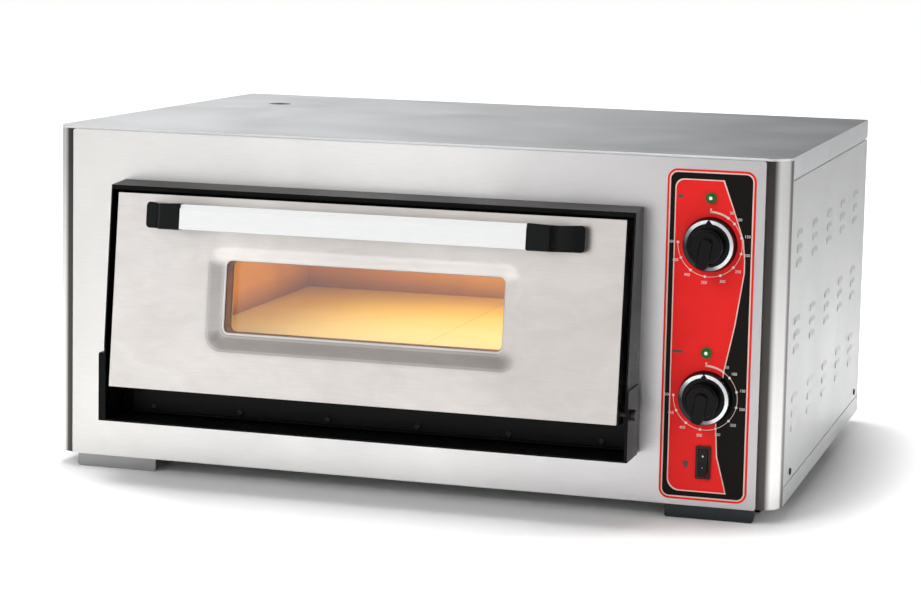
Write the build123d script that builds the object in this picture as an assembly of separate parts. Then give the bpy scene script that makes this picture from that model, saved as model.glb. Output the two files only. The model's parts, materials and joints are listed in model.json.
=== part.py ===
from build123d import *
import math
import os

os.makedirs("parts", exist_ok=True)

# Countertop pizza oven, one deck. Millimetres. +Z up, the front faces -Y, and the
# origin is on the floor under the middle of the whole oven's bounding box.

# ---------------------------------------------------------------- driving dimensions

# Outer case
body_width = 900.0
body_depth = 645.0
body_height = 402.0
cover_sheet = 1.0
cover_hem = 3.0
cover_flange = 24.6
case_sheet = 1.2
panel_sheet = 1.0
panel_gap = 0.4
panel_reveal = 1.5
cover_reveal = 2.6
column_radius = 26.0
column_flange = 20.0
front_panel_proud = 5.0
tray_flange = 21.0
tuck = 12.0
rear_angle_side = 56.0
rear_angle_back = 16.0
column_side_flange = 56.0
side_screw_inset = 44.0
side_screw_rise = 10.0
spot_radius = 1.2
spot_depth = 0.5
spot_inset = 7.0
spot_pitch = 5.0

# Feet: pans that open downwards, with gussets in their corners
foot_height = 17.0
foot_width = 103.0
foot_depth = 60.0
foot_sheet = 2.0
foot_side_inset = 30.0
foot_end_inset = 3.0
foot_corner = 3.0
foot_gusset = 26.0

# Louvres pressed out of the side panels
louvre_length = 38.0
louvre_height = 9.0
louvre_proud = 1.1
louvre_rim = 3.0
louvre_columns = 5
louvre_first_column = 85.0
louvre_column_pitch = 115.0
louvre_rows = 3
louvre_row_pitch = 17.0
louvre_group_tops = (306.0, 205.0, 114.0)

# Door: it leans back, and its pivot is near its lower edge
door_centre_x = -35.0
door_width = 620.0
door_length = 231.0
door_depth = 34.2
door_lean = 6.46
door_bottom_height = 100.0
door_bottom_reach = 72.0
door_sheet = 1.0
liner_sheet = 1.2
pivot_inset = 10.2
pivot_rise = 11.0

# Door window
window_width = 340.0
window_height = 84.0
window_bottom = 73.5
window_corner = 7.0
dish_depth = 7.0
dish_side = 24.0
dish_top = 17.0
dish_bottom = 27.0
dish_corner = 22.0
dish_steps = 8
glass_thickness = 4.0
glass_lap = 9.0
gasket_thickness = 2.0
reveal_sheet = 1.5

# Door seal on the back of the door
seal_width = 8.0
seal_thickness = 4.0
seal_gap = 0.3

# Handle
handle_length = 416.0
handle_height = 29.0
handle_depth = 12.0
handle_bevel = 6.0
handle_standoff = 42.0
handle_middle = 206.8
bracket_block = 26.0
bracket_reach = 58.5
bracket_foot = 21.0
bracket_foot_depth = 15.0
bracket_neck = 13.0
bracket_corner = 5.0
bracket_near_corner = 2.0
bracket_overhang = 1.0
bracket_waist = 1.5
bracket_edge = 1.5
handle_screw_radius = 2.5
handle_screw_bite = 10.0
screw_clearance = 0.1

# Surround: the black box around the door
surround_width = 640.0
surround_bottom = 56.0
surround_top = 341.0
surround_knee = 150.0
surround_reach_low = 64.0
surround_reach_high = 44.0
surround_sheet = 2.0
surround_top_drop = 3.0
surround_lip = 5.5
surround_flange = 20.0
surround_flange_sheet = 1.5

# Sill plate under the door
sill_width = 613.0
sill_bottom = 60.0
sill_height = 54.0
sill_sheet = 1.5
sill_ledge = 7.0
sill_screw_count = 6
sill_screw_span = 558.0
sill_screw_rise = 7.0
screw_head_radius = 4.0
screw_head_height = 2.2
screw_shank_radius = 2.0

# Door hinges
hinge_plate_thickness = 1.5
spring_plate_thickness = 7.0
hinge_plate_back = 12.0
hinge_plate_top = 138.0
hinge_plate_corner = 3.0
pin_radius = 4.0
pin_clearance = 0.05
pin_head_radius = 6.5
pin_head_height = 5.0
hinge_block_thickness = 12.0
hinge_block_margin = 8.0
pin_hole_clearance = 0.6

# Baking chamber
chamber_width = 614.0
chamber_depth = 600.0
chamber_height = 150.0
chamber_floor = 130.0
chamber_sheet = 1.5
element_space = 19.0
stone_thickness = 15.0
stone_gap = 1.0
support_width = 12.0
mouth_width = 580.0
mouth_top_gap = 4.0
mouth_sill = 2.0
mouth_lip = 5.0
mouth_clearance = 2.0

# Heating elements
element_radius = 4.0
element_bend = 25.0
element_left_margin = 40.0
element_floor_gap = 2.0
element_ceiling_gap = 7.0
element_legs = ((60.0, 240.0), (360.0, 540.0))
element_end_gap = 2.0
element_clearance = 0.3
clip_width = 8.0
clip_wall = 2.5
clip_margin = 60.0

# Insulation and control bay
insulation_top_thickness = 60.0
insulation_right_thickness = 24.0
insulation_front_gap = 50.0
divider_sheet = 1.0

# Vent pipe: it rises from the chamber, leans outwards, and ends in a straight spigot
vent_x = -341.0
vent_y = 474.0
vent_wall_gap = 3.0
vent_spigot = 30.0
vent_outer_radius = 15.0
vent_wall = 1.0
vent_clearance = 0.3

# Chamber lamp in the right wall
lamp_y = 470.0
lamp_drop = 40.0
lamp_housing_radius = 22.0
lamp_glass_radius = 20.0
lamp_glass_proud = 14.0
lamp_glass_wall = 2.0
lamp_glass_fit = 0.2
lamp_glass_seat = 6.0
lamp_back_wall = 3.0
lamp_bulb_proud = 4.0
lamp_bulb_radius = 8.0

# Thermostats, their probes and their knobs
control_x = 362.5
upper_knob_height = 302.0
lower_knob_height = 126.0
thermostat_width = 46.0
thermostat_height = 50.0
thermostat_depth = 42.0
shaft_radius = 3.0
shaft_clearance = 0.05
shaft_hole_radius = 5.0
shaft_bite = 14.0
probe_radius = 3.0
probe_length = 120.0
probe_y = 330.0
skirt_radius = 31.6
skirt_depth = 10.6
skirt_taper = 12.0
skirt_gap = 0.5
core_radius = 20.0
core_depth = 15.0
core_taper = 4.0
core_fillet = 3.0
grip_width = 14.0
grip_reach = 26.0
grip_tail = 10.0
grip_depth = 20.0
grip_turn = 10.0
grip_edge = 2.5
grip_socket = 12.0

# Control overlay, pilot lamps and rocker switch
overlay_width = 102.0
overlay_height = 380.0
overlay_bottom = 6.7
overlay_corner = 12.0
overlay_thickness = 0.5
upper_pilot_height = 355.0
lower_pilot_height = 178.0
pilot_radius = 6.5
pilot_rim = 1.4
pilot_body_radius = 4.9
pilot_body_length = 20.0
pilot_dome = 3.0
socket_wall = 2.0
socket_length = 14.0
switch_height = 51.5
switch_width = 17.5
switch_length = 38.0
switch_bezel = 2.4
switch_body_width = 14.4
switch_body_length = 34.0
switch_body_depth = 26.0
rocker_width = 10.6
rocker_length = 29.0
rocker_depth = 8.0
rocker_cavity_gap = 1.0
rocker_tilt = 7.0
rocker_pivot_radius = 1.5
rocker_pivot_clearance = 0.05
rocker_proud = 1.6
rocker_crown = 1.6

# Electrical parts in the bay, and the cable gland in the rear panel
terminal_inset = 60.0
terminal_ways = 6
terminal_well = 4.0
terminal_well_depth = 6.0
terminal_length = 90.0
terminal_width = 24.0
terminal_height = 28.0
relay_setback = 300.0
relay_rise = 160.0
relay_width = 50.0
relay_height = 80.0
relay_depth = 60.0
gland_x = 372.0
gland_height = 56.0
gland_bore_radius = 6.5
gland_thread_radius = 12.0
gland_nut_flats = 30.0
gland_nut_height = 8.0
gland_reach = 22.0
gland_inner_reach = 12.0
rear_slot_count = 9
rear_slot_drop = 40.0
rear_slot_pitch = 14.0
rear_slot_length = 60.0
rear_slot_width = 5.0

# ---------------------------------------------------------------- derived places

lean = math.radians(door_lean)
half_body = body_width / 2
body_bottom = foot_height
body_top = body_bottom + body_height
panel_top = body_top - cover_hem
flange_bottom = body_top - cover_flange

bar_front = handle_standoff + handle_depth
bar_low = handle_middle - handle_height / 2
handle_reach = door_bottom_reach + bar_front * math.cos(lean) - bar_low * math.sin(lean)
front_y = (handle_reach - body_depth - gland_reach) / 2
rear_y = front_y + body_depth
panel_face_y = front_y - front_panel_proud
panel_back_y = panel_face_y + case_sheet

door_place = Pos(door_centre_x, front_y - door_bottom_reach, body_bottom + door_bottom_height)
door_place = door_place * Rot(X=-door_lean)
half_door = door_width / 2
pivot_setback = door_depth - pivot_inset
pivot_y = front_y - door_bottom_reach + pivot_setback * math.cos(lean) + pivot_rise * math.sin(lean)
pivot_z = (
    body_bottom + door_bottom_height + pivot_rise * math.cos(lean) - pivot_setback * math.sin(lean)
)

chamber_floor_z = body_bottom + chamber_floor
chamber_top_z = chamber_floor_z + chamber_height
liner_floor_z = chamber_floor_z - stone_thickness - element_space
chamber_left = door_centre_x - chamber_width / 2
chamber_right = door_centre_x + chamber_width / 2
liner_front_y = front_y + chamber_sheet
liner_back_y = liner_front_y + chamber_depth
mouth_left = door_centre_x - mouth_width / 2
mouth_right = door_centre_x + mouth_width / 2
mouth_bottom_z = chamber_floor_z + mouth_sill
mouth_top_z = chamber_top_z - mouth_top_gap
lamp_z = chamber_top_z - lamp_drop

tray_front_y = front_y + case_sheet + panel_gap
tray_corner_y = front_y + column_radius + panel_gap
behind_tray_lip = case_sheet + panel_gap
tongue_face = half_body - case_sheet - panel_gap
side_inner = tongue_face - panel_sheet
bay_left = chamber_right + chamber_sheet + insulation_right_thickness
tray_top = body_bottom + case_sheet


# ---------------------------------------------------------------- small helpers

def block(x, y, z):
    """A box from three (low, high) pairs."""
    pairs = (x, y, z)
    size = [high - low for low, high in pairs]
    middle = [(high + low) / 2 for low, high in pairs]
    return Pos(*middle) * Box(*size)


def rod(radius, start, end):
    """A round bar between two points."""
    run = Vector(*end) - Vector(*start)
    return extrude(Plane(start, z_dir=run) * Circle(radius), run.length)


def side_prism(points, x_low, x_high):
    """A prism along X whose outline is given as (y, z) points."""
    outline = make_face(Polyline(*[(0, y, z) for y, z in points], close=True))
    return Pos(x_low, 0, 0) * extrude(outline, x_high - x_low, dir=(1, 0, 0))


def mirrored(shape):
    """The same piece on the other side of the body."""
    return mirror(shape, Plane.YZ)


def rounded_window(width, height, corner, bottom, y):
    """A rounded rectangle in the door's own plane at depth y."""
    middle = bottom + height / 2
    plane = Plane((0, y, middle), x_dir=(1, 0, 0), z_dir=(0, -1, 0))
    return plane * RectangleRounded(width, height, corner)


def window_prism(grow, y_low, y_high, corner=window_corner):
    """The window's opening, grown all round, between two depths of the door."""
    width = window_width + 2 * grow
    height = window_height + 2 * grow
    outline = rounded_window(width, height, corner, window_bottom - grow, y_high)
    return extrude(outline, y_high - y_low, dir=(0, -1, 0))


def screw(place, head_radius, head_height, shank_radius, shank_length):
    """A round-head screw; its head stands along the place's +Z, its shank goes along -Z."""
    head = extrude(Circle(head_radius), head_height)
    head = fillet(head.edges().sort_by(Axis.Z)[-1:], head_height * 0.6)
    shank = extrude(Circle(shank_radius), -shank_length)
    return place * (head + shank)


# ---------------------------------------------------------------- outer case

def body_outline(inset):
    """The body seen from above, with its two front corners rounded."""
    width = body_width - 2 * inset
    depth = body_depth - 2 * inset
    outline = Pos(0, front_y + body_depth / 2) * Rectangle(width, depth)
    front_corners = outline.vertices().sort_by(Axis.Y)[:2]
    return fillet(front_corners, column_radius - inset)


def make_top_cover():
    shell = Pos(0, 0, flange_bottom) * extrude(body_outline(0), cover_flange)
    hollow = Pos(0, 0, flange_bottom) * extrude(body_outline(cover_sheet), cover_flange - cover_sheet)
    cover = shell - hollow
    front_cut = block(
        (-half_body, half_body),
        (front_y - 1, front_y + column_radius + panel_gap),
        (flange_bottom - 1, panel_top),
    )
    vent = rod(
        vent_outer_radius + vent_clearance,
        (vent_x, front_y + vent_y, body_top - cover_sheet - 1),
        (vent_x, front_y + vent_y, body_top + 1),
    )
    cover -= front_cut + vent
    spot_y = front_y + column_radius + spot_inset
    for step in (-0.5, 0.5):
        spot_z = body_top - cover_flange / 2 + step * spot_pitch
        for side in (-1, 1):
            start = (side * (half_body - spot_depth), spot_y, spot_z)
            cover -= rod(spot_radius, start, (side * (half_body + 1), spot_y, spot_z))
    return cover


def make_column():
    """The right corner column, rolled to a quarter round, with a flange at each end."""
    centre = Vector(half_body - column_radius, front_y + column_radius)
    ring = Circle(column_radius) - Circle(column_radius - case_sheet)
    quarter = ring & (Pos(column_radius / 2, -column_radius / 2) * Rectangle(column_radius, column_radius))
    height = panel_top - body_bottom
    wall = Pos(centre.X, centre.Y, body_bottom) * extrude(quarter, height)
    front_flange = block(
        (centre.X - column_flange, centre.X),
        (front_y, front_y + case_sheet),
        (body_bottom, panel_top),
    )
    inner_edge = side_inner - panel_gap
    flange_z = (body_bottom + tray_flange + panel_gap, panel_top)
    joggle = block(
        (inner_edge - case_sheet, half_body - case_sheet / 2),
        (centre.Y - case_sheet, centre.Y),
        flange_z,
    )
    side_flange = block(
        (inner_edge - case_sheet, inner_edge),
        (centre.Y - case_sheet, centre.Y + column_side_flange),
        flange_z,
    )
    column = wall + front_flange + joggle + side_flange
    screw_y, screw_z = side_screw_places()[0]
    start = (inner_edge - 2 * case_sheet, screw_y, screw_z)
    end = (inner_edge + case_sheet, screw_y, screw_z)
    return column - rod(screw_shank_radius + screw_clearance, start, end)


def control_holes(extra):
    """Holes for shafts, pilot lamps and the switch, through the panel and overlay."""
    y_far = (panel_face_y - overlay_thickness - 1, panel_back_y + 1)
    holes = []
    for height in (upper_knob_height, lower_knob_height):
        z = body_bottom + height
        holes.append(rod(shaft_hole_radius + extra, (control_x, y_far[0], z), (control_x, y_far[1], z)))
    for height in (upper_pilot_height, lower_pilot_height):
        z = body_bottom + height
        hole_radius = pilot_body_radius + screw_clearance + extra
        holes.append(rod(hole_radius, (control_x, y_far[0], z), (control_x, y_far[1], z)))
    half_width = switch_body_width / 2 + screw_clearance + extra
    half_length = switch_body_length / 2 + screw_clearance + extra
    switch_z = body_bottom + switch_height
    holes.append(
        block(
            (control_x - half_width, control_x + half_width),
            y_far,
            (switch_z - half_length, switch_z + half_length),
        )
    )
    return holes


def sill_screw_places():
    """Where the sill plate's screws sit: on the plate, heads towards the front."""
    places = []
    for index in range(sill_screw_count):
        x = door_centre_x - sill_screw_span / 2 + index * sill_screw_span / (sill_screw_count - 1)
        z = body_bottom + sill_bottom + sill_screw_rise
        places.append((x, z))
    return places


sill_face_y = panel_face_y - surround_flange_sheet - sill_sheet


def sill_screw_holes():
    """Clearance holes for the sill screws through plate, flange and front panel."""
    return [
        rod(
            screw_shank_radius + screw_clearance,
            (x, sill_face_y - 1, z),
            (x, panel_back_y + 1, z),
        )
        for x, z in sill_screw_places()
    ]


def make_front_panel():
    half_panel = half_body - column_radius
    outer = block(
        (-half_panel, half_panel), (panel_face_y, front_y), (body_bottom, panel_top)
    )
    outer = fillet(outer.edges().filter_by(Axis.Y), 3)
    inner = block(
        (-half_panel + case_sheet, half_panel - case_sheet),
        (panel_back_y, front_y),
        (body_bottom + case_sheet, panel_top - case_sheet),
    )
    opening = block(
        (mouth_left - chamber_sheet - mouth_clearance, mouth_right + chamber_sheet + mouth_clearance),
        (panel_face_y - 1, front_y + 1),
        (
            mouth_bottom_z - chamber_sheet - mouth_clearance,
            mouth_top_z + chamber_sheet + mouth_clearance,
        ),
    )
    panel = outer - inner - opening
    for hole in control_holes(0) + sill_screw_holes():
        panel -= hole
    return panel


def side_screw_places():
    """Side panel screws, as (y, z): the front one bites the column, the rear one the rear panel."""
    z = body_bottom + tray_flange + panel_reveal + side_screw_rise
    return (
        (front_y + column_radius + side_screw_inset, z),
        (rear_y - side_screw_inset, z),
    )


def make_side_panel():
    """The right side panel: a shallow pan, tongues at its top and bottom, and pressed louvres."""
    y = (tray_corner_y, rear_y - case_sheet - panel_gap)
    z = (body_bottom + tray_flange + panel_reveal, flange_bottom - cover_reveal)
    sheet = block((side_inner, half_body), y, z)
    sheet -= block(
        (side_inner - 1, half_body - panel_sheet),
        (y[0] + panel_sheet, y[1] - panel_sheet),
        (z[0] + panel_sheet, z[1] - panel_sheet),
    )
    tongue_y = (y[0] + behind_tray_lip, y[1])
    tongue_x = (side_inner, tongue_face)
    sheet += block(tongue_x, tongue_y, (z[0] - tuck, z[0] + panel_sheet))
    sheet += block(tongue_x, tongue_y, (z[1] - panel_sheet, z[1] + tuck))
    hood_outline = make_face(
        Polyline(
            (half_body - panel_sheet / 2, 0),
            (half_body - panel_sheet / 2, louvre_height),
            (half_body, louvre_height),
            (half_body + louvre_proud, louvre_height * 0.3),
            (half_body + louvre_proud, 0),
            close=True,
        )
    )
    hood = extrude(Plane.XZ * hood_outline, louvre_length / 2, both=True)
    rim = RectangleRounded(louvre_length, 2 * louvre_height, louvre_height * 0.9)
    hood = hood & extrude(Plane.YZ * rim, half_body + 2 * louvre_proud)
    slot = block(
        (half_body - 2 * panel_sheet, half_body + louvre_proud * 0.55),
        (-louvre_length / 2 + louvre_rim, louvre_length / 2 - louvre_rim),
        (-1, louvre_height * 0.25),
    )
    for column in range(louvre_columns):
        louvre_y = front_y + louvre_first_column + column * louvre_column_pitch
        for group_top in louvre_group_tops:
            for row in range(louvre_rows):
                place = Pos(0, louvre_y, body_bottom + group_top - row * louvre_row_pitch)
                sheet = sheet + place * hood - place * slot
    for screw_y, screw_z in side_screw_places():
        start = (half_body - 2 * panel_sheet, screw_y, screw_z)
        end = (half_body + 1, screw_y, screw_z)
        sheet -= rod(screw_shank_radius + screw_clearance, start, end)
    return sheet


def make_rear_angle():
    """The right rear corner angle, welded to the rear plate; the side panel's screw bites it."""
    half_width = side_inner - panel_gap
    back = rear_y - case_sheet - panel_gap - panel_sheet
    z = (tray_top + panel_gap, body_top - cover_sheet - panel_gap)
    angle = block((half_width - panel_sheet, half_width), (back - rear_angle_side, back), z)
    angle += block((half_width - rear_angle_back, half_width), (back - panel_sheet, back), z)
    for y, screw_z in side_screw_places():
        start = (half_width - 2 * panel_sheet, y, screw_z)
        end = (half_width + panel_sheet, y, screw_z)
        angle -= rod(screw_shank_radius + screw_clearance, start, end)
    return angle


def make_rear_plate():
    half_width = side_inner - panel_gap
    back = rear_y - case_sheet - panel_gap
    z = (tray_top + panel_gap, body_top - cover_sheet - panel_gap)
    panel = block((-half_width, half_width), (back - panel_sheet, back), z)
    gland_z = body_bottom + gland_height
    panel -= rod(
        gland_thread_radius + screw_clearance,
        (gland_x, back - 2 * panel_sheet, gland_z),
        (gland_x, back + panel_sheet, gland_z),
    )
    for centre_x in (control_x, -control_x):
        for index in range(rear_slot_count):
            slot_z = flange_bottom - rear_slot_drop - index * rear_slot_pitch
            panel -= block(
                (centre_x - rear_slot_length / 2, centre_x + rear_slot_length / 2),
                (back - 2 * panel_sheet, back + panel_sheet),
                (slot_z - rear_slot_width / 2, slot_z + rear_slot_width / 2),
            )
    return panel


def make_base_tray():
    half_front = half_body - column_radius - column_flange - panel_gap

    def footprint(inset):
        wide = Pos(0, (tray_corner_y + rear_y) / 2) * Rectangle(
            body_width - 2 * inset, rear_y - tray_corner_y - 2 * inset
        )
        tongue_back = tray_corner_y + inset + 1
        tongue = Pos(0, (tray_front_y + inset + tongue_back) / 2) * Rectangle(
            2 * (half_front - inset), tongue_back - tray_front_y - inset
        )
        return wide + tongue

    solid = Pos(0, 0, body_bottom) * extrude(footprint(0), tray_flange)
    hollow = Pos(0, 0, tray_top) * extrude(footprint(case_sheet), tray_flange)
    return solid - hollow


def make_foot():
    """A pan, open below; its ends are cut away between the gussets."""
    pan = block((0, foot_width), (0, foot_depth), (0, foot_height))
    pan = fillet(pan.edges().filter_by(Axis.Y).sort_by(Axis.Z)[:2], foot_corner)
    pan -= block(
        (foot_sheet, foot_width - foot_sheet),
        (foot_sheet, foot_depth - foot_sheet),
        (-1, foot_height - foot_sheet),
    )
    open_end = [
        (foot_sheet, -1),
        (foot_gusset, foot_height - foot_sheet),
        (foot_depth - foot_gusset, foot_height - foot_sheet),
        (foot_depth - foot_sheet, -1),
    ]
    return pan - side_prism(open_end, -1, foot_width + 1)


right_column = make_column()
right_side_panel = make_side_panel()
export_step(make_top_cover(), "parts/top_cover.step")
export_step(right_column, "parts/right_column.step")
export_step(mirrored(right_column), "parts/left_column.step")
export_step(make_front_panel(), "parts/front_panel.step")
export_step(right_side_panel, "parts/right_side_panel.step")
export_step(mirrored(right_side_panel), "parts/left_side_panel.step")
rear_angle = make_rear_angle()
rear_panel = [make_rear_plate(), rear_angle, mirrored(rear_angle)]
export_step(Compound(rear_panel), "parts/rear_panel.step")
export_step(make_base_tray(), "parts/base_tray.step")

foot_right_x = half_body - foot_side_inset - foot_width
feet = []
for foot_y in (front_y + foot_end_inset, rear_y - foot_end_inset - foot_depth):
    right_foot = Pos(foot_right_x, foot_y, 0) * make_foot()
    feet += [right_foot, mirrored(right_foot)]
export_step(Compound(feet), "parts/feet.step")

side_screws = []
for y, z in side_screw_places():
    place = Plane((half_body, y, z), z_dir=(1, 0, 0)).location
    shank = half_body - side_inner + panel_gap + case_sheet
    one = screw(place, screw_head_radius, panel_gap + case_sheet, screw_shank_radius, shank)
    side_screws += [one, mirrored(one)]
export_step(Compound(side_screws), "parts/side_screws.step")


# ---------------------------------------------------------------- door surround and sill

def make_surround():
    """A sheet box around the door, with a flange behind and a lip over the door's top edge."""
    bottom = body_bottom + surround_bottom
    top = body_bottom + surround_top
    knee = body_bottom + surround_knee
    low_y = front_y - surround_reach_low
    high_y = front_y - surround_reach_high
    left = door_centre_x - surround_width / 2
    right = door_centre_x + surround_width / 2
    outline = [
        (panel_face_y, bottom),
        (low_y, bottom),
        (low_y, knee),
        (high_y, top - surround_top_drop),
        (panel_face_y, top),
    ]
    outer = side_prism(outline, left, right)
    slope = surround_top_drop / (surround_reach_high - front_panel_proud)
    ceiling = top - surround_sheet
    reach = surround_reach_low
    inner_outline = [
        (panel_face_y, bottom + surround_sheet),
        (panel_face_y - reach, bottom + surround_sheet),
        (panel_face_y - reach, ceiling - slope * reach),
        (panel_face_y, ceiling),
    ]
    inner = side_prism(inner_outline, left + surround_sheet, right - surround_sheet)
    shell = outer - inner
    lip_top = top - surround_top_drop - surround_sheet
    shell += block(
        (left + surround_sheet, right - surround_sheet),
        (high_y, high_y + surround_sheet),
        (lip_top - surround_lip + surround_sheet, lip_top + surround_sheet / 4),
    )
    flange_outer = block(
        (left + surround_sheet, right - surround_sheet),
        (panel_face_y - surround_flange_sheet, panel_face_y),
        (bottom + surround_sheet, ceiling),
    )
    flange_hole = block(
        (left + surround_sheet + surround_flange, right - surround_sheet - surround_flange),
        (panel_face_y - surround_flange_sheet, panel_face_y),
        (bottom + surround_sheet + surround_flange, ceiling - surround_flange),
    )
    shell += flange_outer - flange_hole
    for hole in sill_screw_holes() + hinge_pin_holes():
        shell -= hole
    return shell


def hinge_pin_holes():
    """Holes for both hinge pins through the surround's cheeks."""
    half = surround_width / 2
    holes = []
    for side in (-1, 1):
        start = (door_centre_x + side * (half - 2 * surround_sheet), pivot_y, pivot_z)
        end = (door_centre_x + side * (half + 2 * spring_plate_thickness), pivot_y, pivot_z)
        holes.append(rod(pin_radius + pin_clearance, start, end))
    return holes


def make_sill_plate():
    left = door_centre_x - sill_width / 2
    right = door_centre_x + sill_width / 2
    bottom = body_bottom + sill_bottom
    back = panel_face_y - surround_flange_sheet
    plate = block((left, right), (back - sill_sheet, back), (bottom, bottom + sill_height))
    plate += block((left, right), (back - sill_ledge, back), (bottom, bottom + sill_sheet))
    for hole in sill_screw_holes():
        plate -= hole
    return plate


def make_hinge_plate(thickness):
    """A plate against the right cheek."""
    x_low = door_centre_x + surround_width / 2
    plate = block(
        (x_low, x_low + thickness),
        (front_y - surround_reach_low, front_y - hinge_plate_back),
        (body_bottom + surround_bottom, body_bottom + hinge_plate_top),
    )
    plate = fillet(plate.edges().filter_by(Axis.X).sort_by(Axis.Z)[-2:], hinge_plate_corner)
    return plate - hinge_pin_holes()[1]


def make_hinge_pin(thickness):
    """A headed pin through the right cheek and a plate of this thickness."""
    end_x = door_centre_x + half_door - door_sheet - hinge_block_thickness
    seat_x = door_centre_x + surround_width / 2 + thickness
    shank = rod(pin_radius, (end_x, pivot_y, pivot_z), (seat_x, pivot_y, pivot_z))
    head_end = (seat_x + pin_head_height, pivot_y, pivot_z)
    return shank + rod(pin_head_radius, (seat_x, pivot_y, pivot_z), head_end)


def door_mirrored(shape):
    """The same piece on the door's other side."""
    return mirror(shape, Plane.YZ.offset(door_centre_x))


# The right plate is thin; the left one is thick, for the door's spring.
hinge_plates = [
    make_hinge_plate(hinge_plate_thickness),
    door_mirrored(make_hinge_plate(spring_plate_thickness)),
]
hinge_pins = [
    make_hinge_pin(hinge_plate_thickness),
    door_mirrored(make_hinge_pin(spring_plate_thickness)),
]
export_step(make_surround(), "parts/door_surround.step")
export_step(make_sill_plate(), "parts/sill_plate.step")
export_step(Compound(hinge_plates), "parts/hinge_plates.step")
export_step(Compound(hinge_pins), "parts/hinge_pins.step")

sill_shank = sill_sheet + surround_flange_sheet + case_sheet
sill_screws = [
    screw(
        Plane((x, sill_face_y, z), z_dir=(0, -1, 0)).location,
        screw_head_radius,
        screw_head_height,
        screw_shank_radius,
        sill_shank,
    )
    for x, z in sill_screw_places()
]
export_step(Compound(sill_screws), "parts/sill_screws.step")


# ---------------------------------------------------------------- door, in its own upright frame
# Door frame: x from the door's middle, y from its front face backwards, z up from its lower edge.

outer_glass_front = dish_depth
outer_glass_back = outer_glass_front + glass_thickness
inner_glass_back = door_depth - liner_sheet - gasket_thickness
inner_glass_front = inner_glass_back - glass_thickness


def pressed_dish(grow):
    """The dish pressed into the door's face, down to the window, with a smooth S-shaped slope."""
    sections = []
    for step in range(dish_steps + 1):
        left = 1 - step / dish_steps
        depth = dish_depth * (1 - left * left * (3 - 2 * left))
        width = window_width + 2 * (grow + dish_side * left)
        height = window_height + 2 * grow + (dish_top + dish_bottom) * left
        corner = window_corner + (dish_corner - window_corner) * left
        bottom = window_bottom - grow - dish_bottom * left
        sections.append(rounded_window(width, height, corner, bottom, depth))
    return loft(sections, ruled=True)


def handle_screw_places():
    """The four handle screws, as (x, z) on the door's face."""
    x = handle_length / 2 + bracket_reach - bracket_foot / 2
    rise = handle_height / 4
    return [
        (side * x, handle_middle + step * rise) for side in (-1, 1) for step in (-1, 1)
    ]


def make_door_skin():
    plate_back = door_depth - liner_sheet
    shell = block((-half_door, half_door), (0, plate_back), (0, door_length))
    shell -= block(
        (-half_door + door_sheet, half_door - door_sheet),
        (door_sheet, plate_back),
        (door_sheet, door_length - door_sheet),
    )
    shell = shell + pressed_dish(door_sheet) - pressed_dish(0)
    for side in (-1, 1):
        hole_start = (side * (half_door - 2 * door_sheet), pivot_setback, pivot_rise)
        hole_end = (side * (half_door + door_sheet), pivot_setback, pivot_rise)
        shell -= rod(pin_radius + pin_hole_clearance, hole_start, hole_end)
    for x, z in handle_screw_places():
        shell -= rod(handle_screw_radius + screw_clearance, (x, -1, z), (x, 2 * door_sheet, z))
    return shell


def make_door_insulation():
    y = (outer_glass_back + door_sheet, door_depth - liner_sheet)
    side = half_door - door_sheet - hinge_block_thickness - 1
    pad = block((-side, side), y, (door_sheet, door_length - door_sheet))
    return pad - window_prism(glass_lap + 1, y[0] - 1, y[1] + 1, window_corner + 2)


def make_hinge_block():
    """The bearing block inside the door's right side; the pin runs in it."""
    x = (half_door - door_sheet - hinge_block_thickness, half_door - door_sheet)
    y = (door_sheet, door_depth - liner_sheet)
    z = (door_sheet, pivot_rise + pin_radius + hinge_block_margin)
    bore = rod(
        pin_radius + pin_clearance,
        (x[0] - 1, pivot_setback, pivot_rise),
        (x[1] + 1, pivot_setback, pivot_rise),
    )
    return block(x, y, z) - bore


def ring(grow_outer, grow_inner, y_low, y_high):
    """A flat frame around the window, between two depths of the door."""
    outer = window_prism(grow_outer, y_low, y_high, window_corner + 2)
    inner = window_prism(grow_inner, y_low - 1, y_high + 1)
    return outer - inner


def make_seal():
    """The rope seal's outer shape on the back of the door, facing the chamber's mouth."""
    back = (door_depth, door_depth + seal_thickness)
    low = seal_line(mouth_bottom_z)
    high = seal_line(mouth_top_z)
    half = mouth_width / 2
    out = seal_width - mouth_lip / 2
    outer = block((-half - out, half + out), back, (low - out, high + out))
    inset = seal_width - out
    inner = block(
        (-half + inset, half - inset),
        (back[0] - 1, back[1] + 1),
        (low + inset, high - inset),
    )
    seal = outer - inner
    return fillet(seal.edges().filter_by(Axis.Y), 2)


def seal_line(z):
    """The height in the door's frame of a world height on the door's rear plane."""
    rise = z - body_bottom - door_bottom_height
    depth = door_depth + seal_thickness
    return (rise + depth * math.sin(lean)) / math.cos(lean)


def make_door_liner():
    z = (0, door_length)
    plate = block((-half_door, half_door), (door_depth - liner_sheet, door_depth), z)
    return plate - window_prism(0, door_depth - 2 * liner_sheet, door_depth + 1)


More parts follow.
